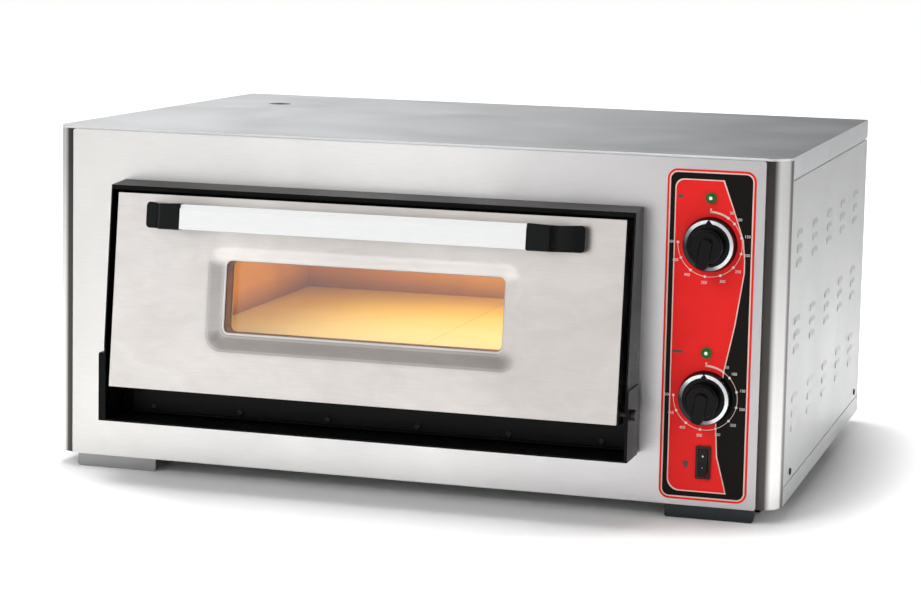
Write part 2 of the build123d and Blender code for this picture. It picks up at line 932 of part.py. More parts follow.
def make_bracket():
    """The right handle bracket: a block at the bar's end that necks back to a foot on the door."""
    near = handle_length / 2
    far = near + bracket_reach
    foot_start = far - bracket_foot
    front = -bar_front
    points = [
        (near, front),
        (near + bracket_block, front),
        (near + bracket_block + bracket_neck * 0.5, front + bracket_neck * 1.2),
        (foot_start + bracket_foot * 0.4, -bracket_foot_depth - 2),
        (far, -bracket_foot_depth),
        (far, 0),
        (foot_start, 0),
        (foot_start - bracket_neck * 0.3, -bracket_foot_depth),
        (near + bracket_block - bracket_neck * 0.6, -handle_standoff + bracket_neck * 0.4),
        (near, -handle_standoff),
    ]
    outline = make_face(Polyline(*points, close=True))
    low = handle_middle - handle_height / 2 - bracket_overhang
    high = handle_middle + handle_height / 2 + bracket_overhang
    body = Pos(0, 0, low) * extrude(outline, high - low)
    waist_x = near + bracket_block + bracket_neck / 2
    near_half = make_face(
        Polyline((near, low), (waist_x, low), (waist_x, high - bracket_waist), (near, high), close=True)
    )
    far_half = make_face(
        Polyline((waist_x, low), (far, low), (far, high), (waist_x, high - bracket_waist), close=True)
    )
    near_half = fillet(near_half.vertices().sort_by(Axis.X)[:2], bracket_near_corner)
    far_half = fillet(far_half.vertices().sort_by(Axis.X)[-2:], bracket_corner)
    body = body & extrude(Plane.XZ * (near_half + far_half), 2 * bar_front, both=True)
    front_edges = body.faces().sort_by(Axis.Y)[0].edges()
    body = chamfer(front_edges, bracket_edge)
    for x, z in handle_screw_places():
        body -= rod(handle_screw_radius + screw_clearance, (x, -handle_screw_bite - 1, z), (x, 1, z))
    return body


def make_handle_bar():
    low = handle_middle - handle_height / 2
    high = handle_middle + handle_height / 2
    outline = [
        (-handle_standoff, low),
        (-bar_front + 1, low),
        (-bar_front, low + 1),
        (-bar_front, high - handle_bevel),
        (-bar_front + handle_bevel * 0.7, high),
        (-handle_standoff, high),
    ]
    return side_prism(outline, -handle_length / 2, handle_length / 2)


hinge_block = make_hinge_block()
bracket = make_bracket()
window_reveal = ring(reveal_sheet, 0, outer_glass_back, inner_glass_front)
window_gasket = ring(glass_lap, 0, inner_glass_back, inner_glass_back + gasket_thickness)
door_parts = {
    "door_skin": make_door_skin(),
    "door_insulation": make_door_insulation(),
    "door_liner": make_door_liner(),
    "hinge_blocks": Compound([hinge_block, mirrored(hinge_block)]),
    "outer_glass": window_prism(glass_lap, outer_glass_front, outer_glass_back),
    "inner_glass": window_prism(glass_lap, inner_glass_front, inner_glass_back),
    "window_seals": Compound([window_reveal, window_gasket]),
    "door_seal": make_seal(),
    "handle_bar": make_handle_bar(),
    "right_handle_bracket": bracket,
    "left_handle_bracket": mirrored(bracket),
}
for node, shape in door_parts.items():
    export_step(door_place * shape, f"parts/{node}.step")

handle_screws = [
    door_place
    * screw(
        Plane((x, door_sheet, z), z_dir=(0, 1, 0)).location,
        screw_head_radius,
        screw_head_height,
        handle_screw_radius,
        door_sheet + handle_screw_bite,
    )
    for x, z in handle_screw_places()
]
export_step(Compound(handle_screws), "parts/handle_screws.step")


# ---------------------------------------------------------------- chamber

def element_ends():
    """Places where element legs, probes and the lamp cross the chamber's right wall."""
    lower_z = liner_floor_z + element_floor_gap + element_radius
    upper_z = chamber_top_z - element_ceiling_gap - element_radius
    return lower_z, upper_z


lower_element_z, upper_element_z = element_ends()
wall_end_x = bay_left - divider_sheet


def wall_holes():
    """Round holes through the chamber's right wall and the insulation behind it."""
    start_x = chamber_right - 1
    end_x = bay_left - 2 * divider_sheet
    holes = []
    for z in (lower_element_z, upper_element_z):
        for legs in element_legs:
            for leg in legs:
                y = liner_front_y + leg
                holes.append(rod(element_radius + element_clearance, (start_x, y, z), (end_x, y, z)))
        y = liner_front_y + probe_y
        holes.append(rod(probe_radius + element_clearance, (start_x, y, z), (end_x, y, z)))
    y = liner_front_y + lamp_y
    lamp_start = (start_x, y, lamp_z)
    holes.append(rod(lamp_housing_radius + element_clearance, lamp_start, (end_x, y, lamp_z)))
    return holes


vent_pipe_y = front_y + vent_y
vent_foot_x = chamber_left + vent_outer_radius + vent_wall_gap
spigot_bottom_z = body_top - vent_spigot


def vent_run(radius, extra):
    """The vent's path as a solid: a leaning length, then a straight spigot, with longer ends."""
    foot = Pos(vent_foot_x, vent_pipe_y, chamber_top_z) * Circle(radius)
    knee = Pos(vent_x, vent_pipe_y, spigot_bottom_z) * Circle(radius)
    run = loft([foot, knee])
    run += rod(
        radius,
        (vent_x, vent_pipe_y, spigot_bottom_z),
        (vent_x, vent_pipe_y, body_top + extra),
    )
    if extra > 0:
        below = (vent_foot_x, vent_pipe_y, chamber_top_z - extra)
        run += rod(radius, below, (vent_foot_x, vent_pipe_y, chamber_top_z))
    return run


vent_hole = vent_run(vent_outer_radius + vent_clearance, 1)


def make_liner():
    outer = block(
        (chamber_left - chamber_sheet, chamber_right + chamber_sheet),
        (liner_front_y, liner_back_y + chamber_sheet),
        (liner_floor_z - chamber_sheet, chamber_top_z + chamber_sheet),
    )
    inner = block(
        (chamber_left, chamber_right),
        (liner_front_y - 1, liner_back_y),
        (liner_floor_z, chamber_top_z),
    )
    shell = outer - inner - vent_hole
    for hole in wall_holes():
        shell -= hole
    return shell


def make_mouth():
    """The frame around the chamber's mouth: a plate, a slanted collar and a lip for the seal."""
    plate = block(
        (chamber_left - chamber_sheet, chamber_right + chamber_sheet),
        (front_y, liner_front_y),
        (liner_floor_z - chamber_sheet, chamber_top_z + chamber_sheet),
    )
    reach = (front_y - door_bottom_reach, liner_front_y)
    collar = block(
        (mouth_left - chamber_sheet, mouth_right + chamber_sheet),
        reach,
        (mouth_bottom_z - chamber_sheet, mouth_top_z + chamber_sheet),
    )
    opening = block((mouth_left, mouth_right), (reach[0] - 1, reach[1] + 1), (mouth_bottom_z, mouth_top_z))
    seal_plane = door_depth + seal_thickness + seal_gap
    big = body_width
    in_front = door_place * block((-big, big), (-big, seal_plane), (-big, big))
    return plate + (collar - in_front) - opening


def make_stone(side):
    half = chamber_width / 2 - stone_gap
    x = (door_centre_x + stone_gap / 2, door_centre_x + half)
    if side == "left":
        x = (door_centre_x - half, door_centre_x - stone_gap / 2)
    stone = block(
        x,
        (liner_front_y + stone_gap, liner_back_y - stone_gap),
        (chamber_floor_z - stone_thickness, chamber_floor_z),
    )
    return chamfer(stone.faces().sort_by(Axis.Z)[-1].edges(), 1)


def make_supports():
    """Three rails across the chamber floor that carry the stones."""
    starts = (
        liner_front_y + stone_gap,
        (liner_front_y + liner_back_y - support_width) / 2,
        liner_back_y - stone_gap - support_width,
    )
    return [
        block(
            (chamber_left + stone_gap, chamber_right - stone_gap),
            (y, y + support_width),
            (liner_floor_z, chamber_floor_z - stone_thickness),
        )
        for y in starts
    ]


def make_elements(z):
    """Two U-shaped heating rods whose ends leave through the right wall."""
    rods = []
    for near, far in element_legs:
        start_x = wall_end_x - element_end_gap
        turn_x = chamber_left + element_left_margin
        near_y = liner_front_y + near
        far_y = liner_front_y + far
        path = FilletPolyline(
            (start_x, near_y, z), (turn_x, near_y, z), (turn_x, far_y, z), (start_x, far_y, z),
            radius=element_bend,
        )
        rods.append(sweep(Plane(path @ 0, z_dir=path % 0) * Circle(element_radius), path))
    return rods


def make_clips(z, seat_z):
    """Small clips that hold the heating rods at their bent end."""
    clips = []
    x = chamber_left + element_left_margin + clip_margin
    half = element_radius + clip_wall
    for legs in element_legs:
        for leg in legs:
            y = liner_front_y + leg
            low, high = sorted((seat_z, z + math.copysign(half, z - seat_z)))
            clip = block((x, x + clip_width), (y - half, y + half), (low, high))
            clip -= rod(element_radius + element_clearance, (x - 1, y, z), (x + clip_width + 1, y, z))
            clips.append(clip)
    return clips


def make_probe(z):
    y = liner_front_y + probe_y
    end_x = wall_end_x - element_end_gap
    return rod(probe_radius, (end_x - probe_length, y, z), (end_x, y, z))


export_step(make_liner(), "parts/chamber_liner.step")
export_step(make_mouth(), "parts/mouth_frame.step")
export_step(Compound([make_stone("left"), make_stone("right")]), "parts/baking_stones.step")
export_step(Compound(make_supports()), "parts/stone_supports.step")
export_step(Compound(make_elements(lower_element_z)), "parts/lower_elements.step")
export_step(Compound(make_elements(upper_element_z)), "parts/upper_elements.step")
element_clips = make_clips(lower_element_z, liner_floor_z) + make_clips(upper_element_z, chamber_top_z)
export_step(Compound(element_clips), "parts/element_clips.step")
export_step(Compound([make_probe(lower_element_z), make_probe(upper_element_z)]), "parts/probes.step")

vent_pipe = vent_run(vent_outer_radius, 0) - vent_run(vent_outer_radius - vent_wall, 1)
export_step(vent_pipe, "parts/vent_pipe.step")


# ---------------------------------------------------------------- chamber lamp

lamp_centre_y = liner_front_y + lamp_y


def along_wall(radius, x_low, x_high):
    """A round bar across the chamber's right wall, on the lamp's axis."""
    return rod(radius, (x_low, lamp_centre_y, lamp_z), (x_high, lamp_centre_y, lamp_z))


lamp_back = wall_end_x - element_end_gap
lamp_housing = along_wall(lamp_housing_radius, chamber_right, lamp_back)
lamp_housing -= along_wall(lamp_glass_radius, chamber_right - 1, lamp_back - lamp_back_wall)
lamp_glass = along_wall(
    lamp_glass_radius - lamp_glass_fit,
    chamber_right - lamp_glass_proud,
    chamber_right + lamp_glass_seat,
)
lamp_glass = fillet(lamp_glass.edges().sort_by(Axis.X)[:1], lamp_glass_proud * 0.7)
lamp_glass -= along_wall(
    lamp_glass_radius - lamp_glass_wall - lamp_glass_fit,
    chamber_right - lamp_glass_proud + lamp_glass_wall + lamp_glass_seat,
    chamber_right + lamp_glass_seat + 1,
)
lamp_bulb = along_wall(lamp_bulb_radius, chamber_right - lamp_bulb_proud, lamp_back - lamp_back_wall)
lamp_bulb = fillet(lamp_bulb.edges().sort_by(Axis.X)[:1], lamp_bulb_radius * 0.8)
export_step(lamp_housing, "parts/lamp_housing.step")
export_step(lamp_glass, "parts/lamp_glass.step")
export_step(lamp_bulb, "parts/lamp_bulb.step")


# ---------------------------------------------------------------- insulation and bay divider

insulation_x = (chamber_left - chamber_sheet, chamber_right + chamber_sheet)
insulation_front = liner_front_y
insulation_back = rear_y - case_sheet - panel_gap - panel_sheet - 1
liner_outer_z = (liner_floor_z - chamber_sheet, chamber_top_z + chamber_sheet)
insulation_top_z = liner_outer_z[1] + insulation_top_thickness

insulation_top = block(
    insulation_x, (insulation_front, insulation_back), (liner_outer_z[1], insulation_top_z)
)
insulation_top -= vent_hole
tray_inside_y = tray_front_y + behind_tray_lip
insulation_bottom = block(
    insulation_x, (tray_inside_y, insulation_back), (tray_top, liner_outer_z[0])
)
insulation_rear = block(
    insulation_x, (liner_back_y + chamber_sheet, insulation_back), liner_outer_z
)
insulation_left = block(
    (-side_inner + panel_gap + 2 * panel_sheet, insulation_x[0]),
    (front_y + insulation_front_gap, insulation_back - rear_angle_side),
    (tray_top, insulation_top_z),
)
insulation_left -= vent_hole
insulation_right = block(
    (insulation_x[1], wall_end_x),
    (front_y + insulation_front_gap, insulation_back - rear_angle_side),
    (tray_top, insulation_top_z),
)
for hole in wall_holes():
    insulation_right -= hole
bay_divider = block(
    (wall_end_x, bay_left), (tray_inside_y, insulation_back), (tray_top, flange_bottom)
)
export_step(insulation_top, "parts/insulation_top.step")
export_step(insulation_bottom, "parts/insulation_bottom.step")
export_step(insulation_rear, "parts/insulation_rear.step")
export_step(insulation_left, "parts/insulation_left.step")
export_step(insulation_right, "parts/insulation_right.step")
export_step(bay_divider, "parts/bay_divider.step")


# ---------------------------------------------------------------- controls

overlay_face_y = panel_face_y - overlay_thickness
overlay_middle_z = body_bottom + overlay_bottom + overlay_height / 2
overlay_plane = Plane((control_x, panel_face_y, overlay_middle_z), x_dir=(1, 0, 0), z_dir=(0, -1, 0))
overlay = extrude(
    overlay_plane * RectangleRounded(overlay_width, overlay_height, overlay_corner), overlay_thickness
)
for hole in control_holes(0):
    overlay -= hole
export_step(overlay, "parts/control_overlay.step")


def front_plane(height, y):
    """A plane that faces the front, on the control column's middle line."""
    return Plane((control_x, y, body_bottom + height), x_dir=(1, 0, 0), z_dir=(0, -1, 0))


def make_knob(height):
    """Tapered skirt, round core and turned grip in one piece, with a bore for the shaft."""
    skirt_back = overlay_face_y - skirt_gap
    skirt_plane = front_plane(height, skirt_back)
    skirt = extrude(skirt_plane * Circle(skirt_radius), skirt_depth, taper=skirt_taper)
    face_plane = front_plane(height, skirt_back - skirt_depth)
    core = extrude(face_plane * Circle(core_radius), core_depth, taper=core_taper)
    core = fillet(core.faces().sort_by(Axis.Y)[0].edges(), core_fillet)
    grip_length = grip_reach + grip_tail
    grip_outline = Pos(0, grip_tail - grip_length / 2) * RectangleRounded(
        grip_width, grip_length, grip_width * 0.4
    )
    grip = extrude(face_plane * Rot(Z=-grip_turn) * grip_outline, grip_depth)
    grip = fillet(grip.faces().sort_by(Axis.Y)[0].edges(), grip_edge)
    bore_radius = shaft_radius + shaft_clearance
    bore = extrude(front_plane(height, skirt_back + 1) * Circle(bore_radius), grip_socket + 1)
    return skirt + core + grip - bore


def make_shaft(height):
    z = body_bottom + height
    front = overlay_face_y - skirt_gap - grip_socket
    return rod(shaft_radius, (control_x, front, z), (control_x, panel_back_y + shaft_bite, z))


def make_thermostat(height):
    z = body_bottom + height
    body = block(
        (control_x - thermostat_width / 2, control_x + thermostat_width / 2),
        (panel_back_y, panel_back_y + thermostat_depth),
        (z - thermostat_height / 2, z + thermostat_height / 2),
    )
    body = fillet(body.edges().filter_by(Axis.Y), 3)
    end = panel_back_y + shaft_bite + 1
    return body - rod(shaft_radius + shaft_clearance, (control_x, panel_back_y - 1, z), (control_x, end, z))


for level, height in {"upper": upper_knob_height, "lower": lower_knob_height}.items():
    export_step(make_knob(height), f"parts/{level}_knob.step")
    export_step(make_shaft(height), f"parts/{level}_shaft.step")
    export_step(make_thermostat(height), f"parts/{level}_thermostat.step")


def make_pilot(height):
    """A domed lens with its body through the panel."""
    rim = extrude(front_plane(height, overlay_face_y) * Circle(pilot_radius), pilot_rim)
    dome = extrude(front_plane(height, overlay_face_y - pilot_rim) * Circle(pilot_radius - 1), pilot_dome)
    dome = fillet(dome.faces().sort_by(Axis.Y)[0].edges(), pilot_dome * 0.9)
    z = body_bottom + height
    end = overlay_face_y + pilot_body_length
    return rim + dome + rod(pilot_body_radius, (control_x, overlay_face_y, z), (control_x, end, z))


def make_socket(height):
    """The clip that holds a pilot lamp from behind."""
    z = body_bottom + height
    start = (control_x, panel_back_y, z)
    end = (control_x, panel_back_y + socket_length, z)
    outer = rod(pilot_body_radius + screw_clearance + socket_wall, start, end)
    return outer - rod(pilot_body_radius + screw_clearance, start, end)


pilot_heights = (upper_pilot_height, lower_pilot_height)
export_step(Compound([make_pilot(height) for height in pilot_heights]), "parts/pilot_lamps.step")
export_step(Compound([make_socket(height) for height in pilot_heights]), "parts/pilot_sockets.step")

switch_z = body_bottom + switch_height
rocker_pivot_y = overlay_face_y - switch_bezel / 2


def switch_block(width, length, y_low, y_high):
    return block(
        (control_x - width / 2, control_x + width / 2),
        (y_low, y_high),
        (switch_z - length / 2, switch_z + length / 2),
    )


def make_switch_body():
    face = overlay_face_y - switch_bezel
    bezel = switch_block(switch_width, switch_length, face, overlay_face_y)
    bezel = fillet(bezel.edges().filter_by(Axis.Y), 1.5)
    back = overlay_face_y + switch_body_depth
    body = bezel + switch_block(switch_body_width, switch_body_length, overlay_face_y, back)
    cavity_width = rocker_width + 2 * rocker_cavity_gap * 0.5
    cavity_length = rocker_length + 2 * rocker_cavity_gap
    body -= switch_block(cavity_width, cavity_length, face - 1, rocker_pivot_y + rocker_depth)
    reach = cavity_width / 2 + rocker_cavity_gap / 2
    return body - rod(
        rocker_pivot_radius + rocker_pivot_clearance,
        (control_x - reach, rocker_pivot_y, switch_z),
        (control_x + reach, rocker_pivot_y, switch_z),
    )


def make_rocker():
    """A rocker with a shallow V front, tilted to its off position, on two stub pivots."""
    half = rocker_length / 2
    front = -rocker_proud - switch_bezel / 2
    outline = [
        (rocker_depth / 2, -half * 0.7),
        (front - rocker_crown, -half),
        (front, 0),
        (front - rocker_crown, half),
        (rocker_depth / 2, half * 0.7),
    ]
    body = side_prism(outline, -rocker_width / 2, rocker_width / 2)
    stub = rocker_width / 2 + rocker_cavity_gap * 0.9
    body += rod(rocker_pivot_radius, (-stub, 0, 0), (stub, 0, 0))
    return Pos(control_x, rocker_pivot_y, switch_z) * Rot(X=-rocker_tilt) * body


export_step(make_switch_body(), "parts/switch_body.step")
export_step(make_rocker(), "parts/switch_rocker.step")


# ---------------------------------------------------------------- electrical parts in the bay

terminal_back = rear_y - terminal_inset
terminal_top = tray_top + terminal_height
terminal_block = block(
    (control_x - terminal_width / 2, control_x + terminal_width / 2),
    (terminal_back - terminal_length, terminal_back),
    (tray_top, terminal_top),
)
for index in range(terminal_ways):
    y = terminal_back - terminal_length * (index + 0.5) / terminal_ways
    well_bottom = (control_x, y, terminal_top - terminal_well_depth)
    terminal_block -= rod(terminal_well, well_bottom, (control_x, y, terminal_top + 1))
relay_front = front_y + relay_setback
relay_bottom = body_bottom + relay_rise
relay = block(
    (bay_left, bay_left + relay_width),
    (relay_front, relay_front + relay_depth),
    (relay_bottom, relay_bottom + relay_height),
)
relay = fillet(relay.edges().filter_by(Axis.X), 3)
export_step(terminal_block, "parts/terminal_block.step")
export_step(relay, "parts/power_relay.step")

gland_z = body_bottom + gland_height
gland_seat = rear_y - case_sheet - panel_gap
gland_end = rear_y + gland_reach
gland = rod(
    gland_thread_radius,
    (gland_x, gland_seat - gland_inner_reach, gland_z),
    (gland_x, gland_end, gland_z),
)
gland_plane = Plane((gland_x, gland_seat, gland_z), z_dir=(0, 1, 0))
gland += extrude(
    gland_plane * RegularPolygon(gland_nut_flats / 2, 6, major_radius=False), gland_nut_height
)
gland = chamfer(gland.edges().filter_by(GeomType.CIRCLE).sort_by(Axis.Y)[-1:], 3)
gland -= rod(
    gland_bore_radius,
    (gland_x, gland_seat - gland_inner_reach - 1, gland_z),
    (gland_x, gland_end + 1, gland_z),
)
locknut = extrude(
    Plane((gland_x, gland_seat - panel_sheet, gland_z), z_dir=(0, -1, 0))
    * RegularPolygon(gland_nut_flats / 2, 6, major_radius=False),
    gland_nut_height / 2,
)
locknut -= rod(
    gland_thread_radius + screw_clearance,
    (gland_x, gland_seat - gland_inner_reach, gland_z),
    (gland_x, gland_seat, gland_z),
)
export_step(Compound([gland, locknut]), "parts/cable_gland.step")
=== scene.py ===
import json
import math

import bmesh
import bpy
from mathutils import Matrix, Vector


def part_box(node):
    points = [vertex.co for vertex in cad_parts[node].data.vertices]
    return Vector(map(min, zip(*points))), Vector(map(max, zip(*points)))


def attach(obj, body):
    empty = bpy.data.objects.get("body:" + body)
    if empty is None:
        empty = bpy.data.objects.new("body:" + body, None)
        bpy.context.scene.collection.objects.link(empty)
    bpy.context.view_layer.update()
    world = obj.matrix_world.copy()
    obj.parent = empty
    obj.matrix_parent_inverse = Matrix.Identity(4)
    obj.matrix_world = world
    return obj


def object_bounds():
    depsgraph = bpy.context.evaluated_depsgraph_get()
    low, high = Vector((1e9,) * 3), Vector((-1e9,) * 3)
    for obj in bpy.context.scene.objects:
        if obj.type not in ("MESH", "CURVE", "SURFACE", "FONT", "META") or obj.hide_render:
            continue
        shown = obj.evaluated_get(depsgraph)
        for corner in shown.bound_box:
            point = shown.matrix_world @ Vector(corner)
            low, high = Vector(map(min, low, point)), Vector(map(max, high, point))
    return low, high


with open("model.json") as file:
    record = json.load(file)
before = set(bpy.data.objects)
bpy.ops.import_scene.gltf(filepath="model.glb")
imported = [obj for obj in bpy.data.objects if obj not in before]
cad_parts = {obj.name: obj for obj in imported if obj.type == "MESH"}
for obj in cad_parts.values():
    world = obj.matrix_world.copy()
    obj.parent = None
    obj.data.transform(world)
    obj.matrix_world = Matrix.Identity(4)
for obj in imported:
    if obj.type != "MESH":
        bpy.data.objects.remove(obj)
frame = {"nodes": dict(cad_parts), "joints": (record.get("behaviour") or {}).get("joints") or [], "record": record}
cad_low, cad_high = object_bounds()

MM = 0.001
NODES = frame["nodes"]
FRONT_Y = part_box("top_cover")[0].y
BODY_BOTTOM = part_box("base_tray")[0].z
OVERLAY_LOW, OVERLAY_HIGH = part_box("control_overlay")
JOINT_PLACES = {joint["name"]: joint["pos_m"] for joint in frame["joints"]}
KNOB_AXES = {
    "upper_dial": JOINT_PLACES["upper_knob_turn"],
    "lower_dial": JOINT_PLACES["lower_knob_turn"],
}


# ------------------------------------------------------------------ node trees

# A colour mix node's sockets share their names with others, so they are found by number.
MIX_FIRST = 6
MIX_SECOND = 7
MIX_RESULT = 2
NEW_RAMP_STOPS = 2
WHITE = (1.0, 1.0, 1.0)


def grey(level):
    return (level, level, level)


def new_node(tree, kind, inputs=None, **settings):
    """A shader node with its settings and the values of its inputs."""
    node = tree.nodes.new(kind)
    for name, value in settings.items():
        setattr(node, name, value)
    for socket, value in (inputs or {}).items():
        node.inputs[socket].default_value = value
    return node


def map_range(tree, value, low, high, to_low=0.0, to_high=1.0):
    """A value taken from one range to another, and held at its ends."""
    limits = {"From Min": low, "From Max": high, "To Min": to_low, "To Max": to_high}
    node = new_node(tree, "ShaderNodeMapRange", limits)
    tree.links.new(value, node.inputs["Value"])
    return node.outputs["Result"]


def colour_ramp(tree, value, stops):
    """Colours at places along a 0 to 1 value."""
    node = new_node(tree, "ShaderNodeValToRGB")
    elements = node.color_ramp.elements
    for index, (position, colour) in enumerate(stops):
        element = elements[index] if index < NEW_RAMP_STOPS else elements.new(position)
        element.position = position
        element.color = (*colour, 1.0)
    tree.links.new(value, node.inputs["Fac"])
    return node.outputs["Color"]


def mix_colours(tree, first, second, factor=None, blend_type="MULTIPLY"):
    """Two colours mixed, wholly or by a 0 to 1 value."""
    node = new_node(tree, "ShaderNodeMix", data_type="RGBA", blend_type=blend_type)
    if factor is None:
        node.inputs["Factor"].default_value = 1.0
    else:
        tree.links.new(factor, node.inputs["Factor"])
    tree.links.new(first, node.inputs[MIX_FIRST])
    tree.links.new(second, node.inputs[MIX_SECOND])
    return node.outputs[MIX_RESULT]


def vector_part(tree, vector, axis):
    """One axis of a vector."""
    split = new_node(tree, "ShaderNodeSeparateXYZ")
    tree.links.new(vector, split.inputs["Vector"])
    return split.outputs[axis]


# ------------------------------------------------------------------ materials

# Nearly all the values of a noise lie between these.
NOISE_LOW = 0.3
NOISE_HIGH = 0.7


class Finish:
    """One Principled material and the small helpers that build its node tree."""

    def __init__(self, name, colour, roughness, metallic=0.0, **inputs):
        self.material = bpy.data.materials.new(name)
        self.material.use_nodes = True
        self.tree = self.material.node_tree
        self.shader = self.tree.nodes["Principled BSDF"]
        self.set("Base Color", (*colour, 1.0))
        self.set("Roughness", roughness)
        self.set("Metallic", metallic)
        for socket, value in inputs.items():
            self.set(socket.replace("_", " "), value)
        coordinates = self.node("ShaderNodeTexCoord")
        self.place = coordinates.outputs["Object"]
        self.facing = coordinates.outputs["Normal"]
        self.normal = None

    def set(self, socket, value):
        self.shader.inputs[socket].default_value = value

    def node(self, kind, inputs=None, **settings):
        return new_node(self.tree, kind, inputs, **settings)

    def link(self, source, target):
        self.tree.links.new(source, target)

    def noise(self, scale, stretch=(1, 1, 1), detail=3.0, distortion=0.0):
        """Noise over the object's own place, in features per metre."""
        mapping = self.node("ShaderNodeMapping", {"Scale": stretch})
        character = {"Scale": scale, "Detail": detail, "Distortion": distortion}
        texture = self.node("ShaderNodeTexNoise", character)
        self.link(self.place, mapping.inputs["Vector"])
        self.link(mapping.outputs["Vector"], texture.inputs["Vector"])
        return texture.outputs["Fac"]

    def axis(self, name, low, high):
        """A value that runs from 0 to 1 between two places along an axis."""
        return map_range(self.tree, vector_part(self.tree, self.place, name), low, high)

    def tilt(self, name):
        """How far the surface faces along an axis, -1 to 1."""
        return vector_part(self.tree, self.facing, name)

    def span(self, value, to_low, to_high, low=NOISE_LOW, high=NOISE_HIGH):
        return map_range(self.tree, value, low, high, to_low, to_high)

    def ramp(self, value, *stops):
        return colour_ramp(self.tree, value, stops)

    def blend(self, noise, low, high):
        """Two colours over the values that a noise takes."""
        return self.ramp(noise, (NOISE_LOW, low), (NOISE_HIGH, high))

    def multiply(self, first, second, factor=None):
        return mix_colours(self.tree, first, second, factor)

    def colour(self, source):
        self.link(source, self.shader.inputs["Base Color"])

    def shade(self, shade, factor=None):
        """Multiply the colour made so far."""
        made = self.shader.inputs["Base Color"].links[0].from_socket
        self.colour(self.multiply(made, shade, factor))

    def rough(self, source):
        self.link(source, self.shader.inputs["Roughness"])

    def bump(self, height, strength, distance):
        bump = self.node("ShaderNodeBump", {"Strength": strength, "Distance": distance})
        self.link(height, bump.inputs["Height"])
        if self.normal is not None:
            self.link(self.normal, bump.inputs["Normal"])
        self.normal = bump.outputs["Normal"]
        self.link(self.normal, self.shader.inputs["Normal"])

    def soft_edges(self, radius):
        """Edges catch the light as if they had a small radius."""
        bevel = self.node("ShaderNodeBevel", {"Radius": radius}, samples=4)
        self.normal = bevel.outputs["Normal"]
        self.link(self.normal, self.shader.inputs["Normal"])


# Brushing is a noise that is fine across its lines and long along them.
LEVEL_BRUSHING = (1, 1, 60)
DOOR_BRUSHING = (1, 1, 40)
COVER_BRUSHING = (60, 1, 1)
# The rolled part of a column starts this share of its width in from its inner side.
COLUMN_ROLL_START = 0.43


def brushed_steel(name, light, dark, roughness, grain=LEVEL_BRUSHING, cloud=5.0):
    """Satin sheet steel: fine grain one way, slow clouds in tone and gloss."""
    finish = Finish(name, light, roughness, metallic=1.0)
    finish.soft_edges(0.6 * MM)
    clouds = finish.noise(cloud, detail=4.0, distortion=0.6)
    lines = finish.noise(38.0, stretch=grain, detail=6.0)
    finish.colour(finish.blend(clouds, dark, light))
    finish.shade(finish.blend(lines, grey(0.93), WHITE))
    finish.rough(finish.span(clouds, roughness + 0.05, roughness - 0.05))
    finish.bump(lines, strength=0.06, distance=0.4 * MM)
    return finish


def make_case_steel():
    """The plain sheet of the sides, the back and the base."""
    light, dark = (0.82, 0.83, 0.825), (0.76, 0.77, 0.765)
    return brushed_steel("case_steel", light, dark, roughness=0.38).material


def make_front_steel():
    """The front panel, with painted shade: darker at its left end and towards its controls."""
    light, dark = (0.95, 0.94, 0.925), (0.90, 0.89, 0.875)
    finish = brushed_steel("front_steel", light, dark, roughness=0.36)
    across = finish.axis("X", cad_low.x, cad_high.x)
    # Painted shade across the panel, standing in for its uneven reflection of the studio.
    finish.shade(finish.ramp(
        across,
        (0.0, (0.88, 0.87, 0.86)),
        (0.35, WHITE),
        (0.55, WHITE),
        (0.75, (0.80, 0.79, 0.81)),
        (0.9, (0.64, 0.63, 0.65)),
    ))
    return finish.material


def make_cover_steel():
    """The cover, with painted shade on its top: darker towards the right; its rim is plain."""
    light, dark = (0.90, 0.91, 0.925), (0.84, 0.85, 0.865)
    finish = brushed_steel("cover_steel", light, dark, roughness=0.33, grain=COVER_BRUSHING)
    across = finish.axis("X", cad_low.x, cad_high.x)
    # Painted shade on the upward faces only, darker towards the right.
    shade = finish.ramp(
        across, (0.1, WHITE), (0.6, (0.74, 0.75, 0.76)), (1.0, (0.40, 0.41, 0.43)),
    )
    upward = finish.span(finish.tilt("Z"), 0.0, 1.0, low=0.5, high=0.9)
    finish.shade(shade, factor=upward)
    return finish.material


def make_column_steel(name, node, mirrored):
    """A rolled corner with a painted reflection: one bright band runs down it, dark beside each of its two folds.
    """
    light, dark = (0.96, 0.955, 0.95), (0.92, 0.915, 0.91)
    finish = brushed_steel(name, light, dark, roughness=0.16)
    low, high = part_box(node)
    front, side = (high.x, low.x) if mirrored else (low.x, high.x)
    front += (side - front) * COLUMN_ROLL_START
    # Painted reflection across the rolled part: dark, then a bright band, then dark again.
    finish.shade(finish.ramp(
        finish.axis("X", front, side),
        (0.0, (0.055, 0.05, 0.047)),
        (0.34, (0.10, 0.09, 0.085)),
        (0.5, (0.75, 0.74, 0.73)),
        (0.58, WHITE),
        (0.9, (1.0, 0.99, 0.98)),
        (0.97, (0.20, 0.18, 0.17)),
        (1.0, (0.25, 0.23, 0.22)),
    ))
    return finish.material


def make_foot_steel():
    """Dull grey feet, with painted shade that darkens them towards the oven's right."""
    light, dark = (0.40, 0.40, 0.405), (0.35, 0.35, 0.355)
    finish = brushed_steel("foot_steel", light, dark, roughness=0.34)
    across = finish.axis("X", cad_low.x, cad_high.x)
    # Painted shade: the feet darken towards the oven's right.
    finish.shade(finish.ramp(across, (0.15, WHITE), (0.85, (0.13, 0.15, 0.16))))
    return finish.material


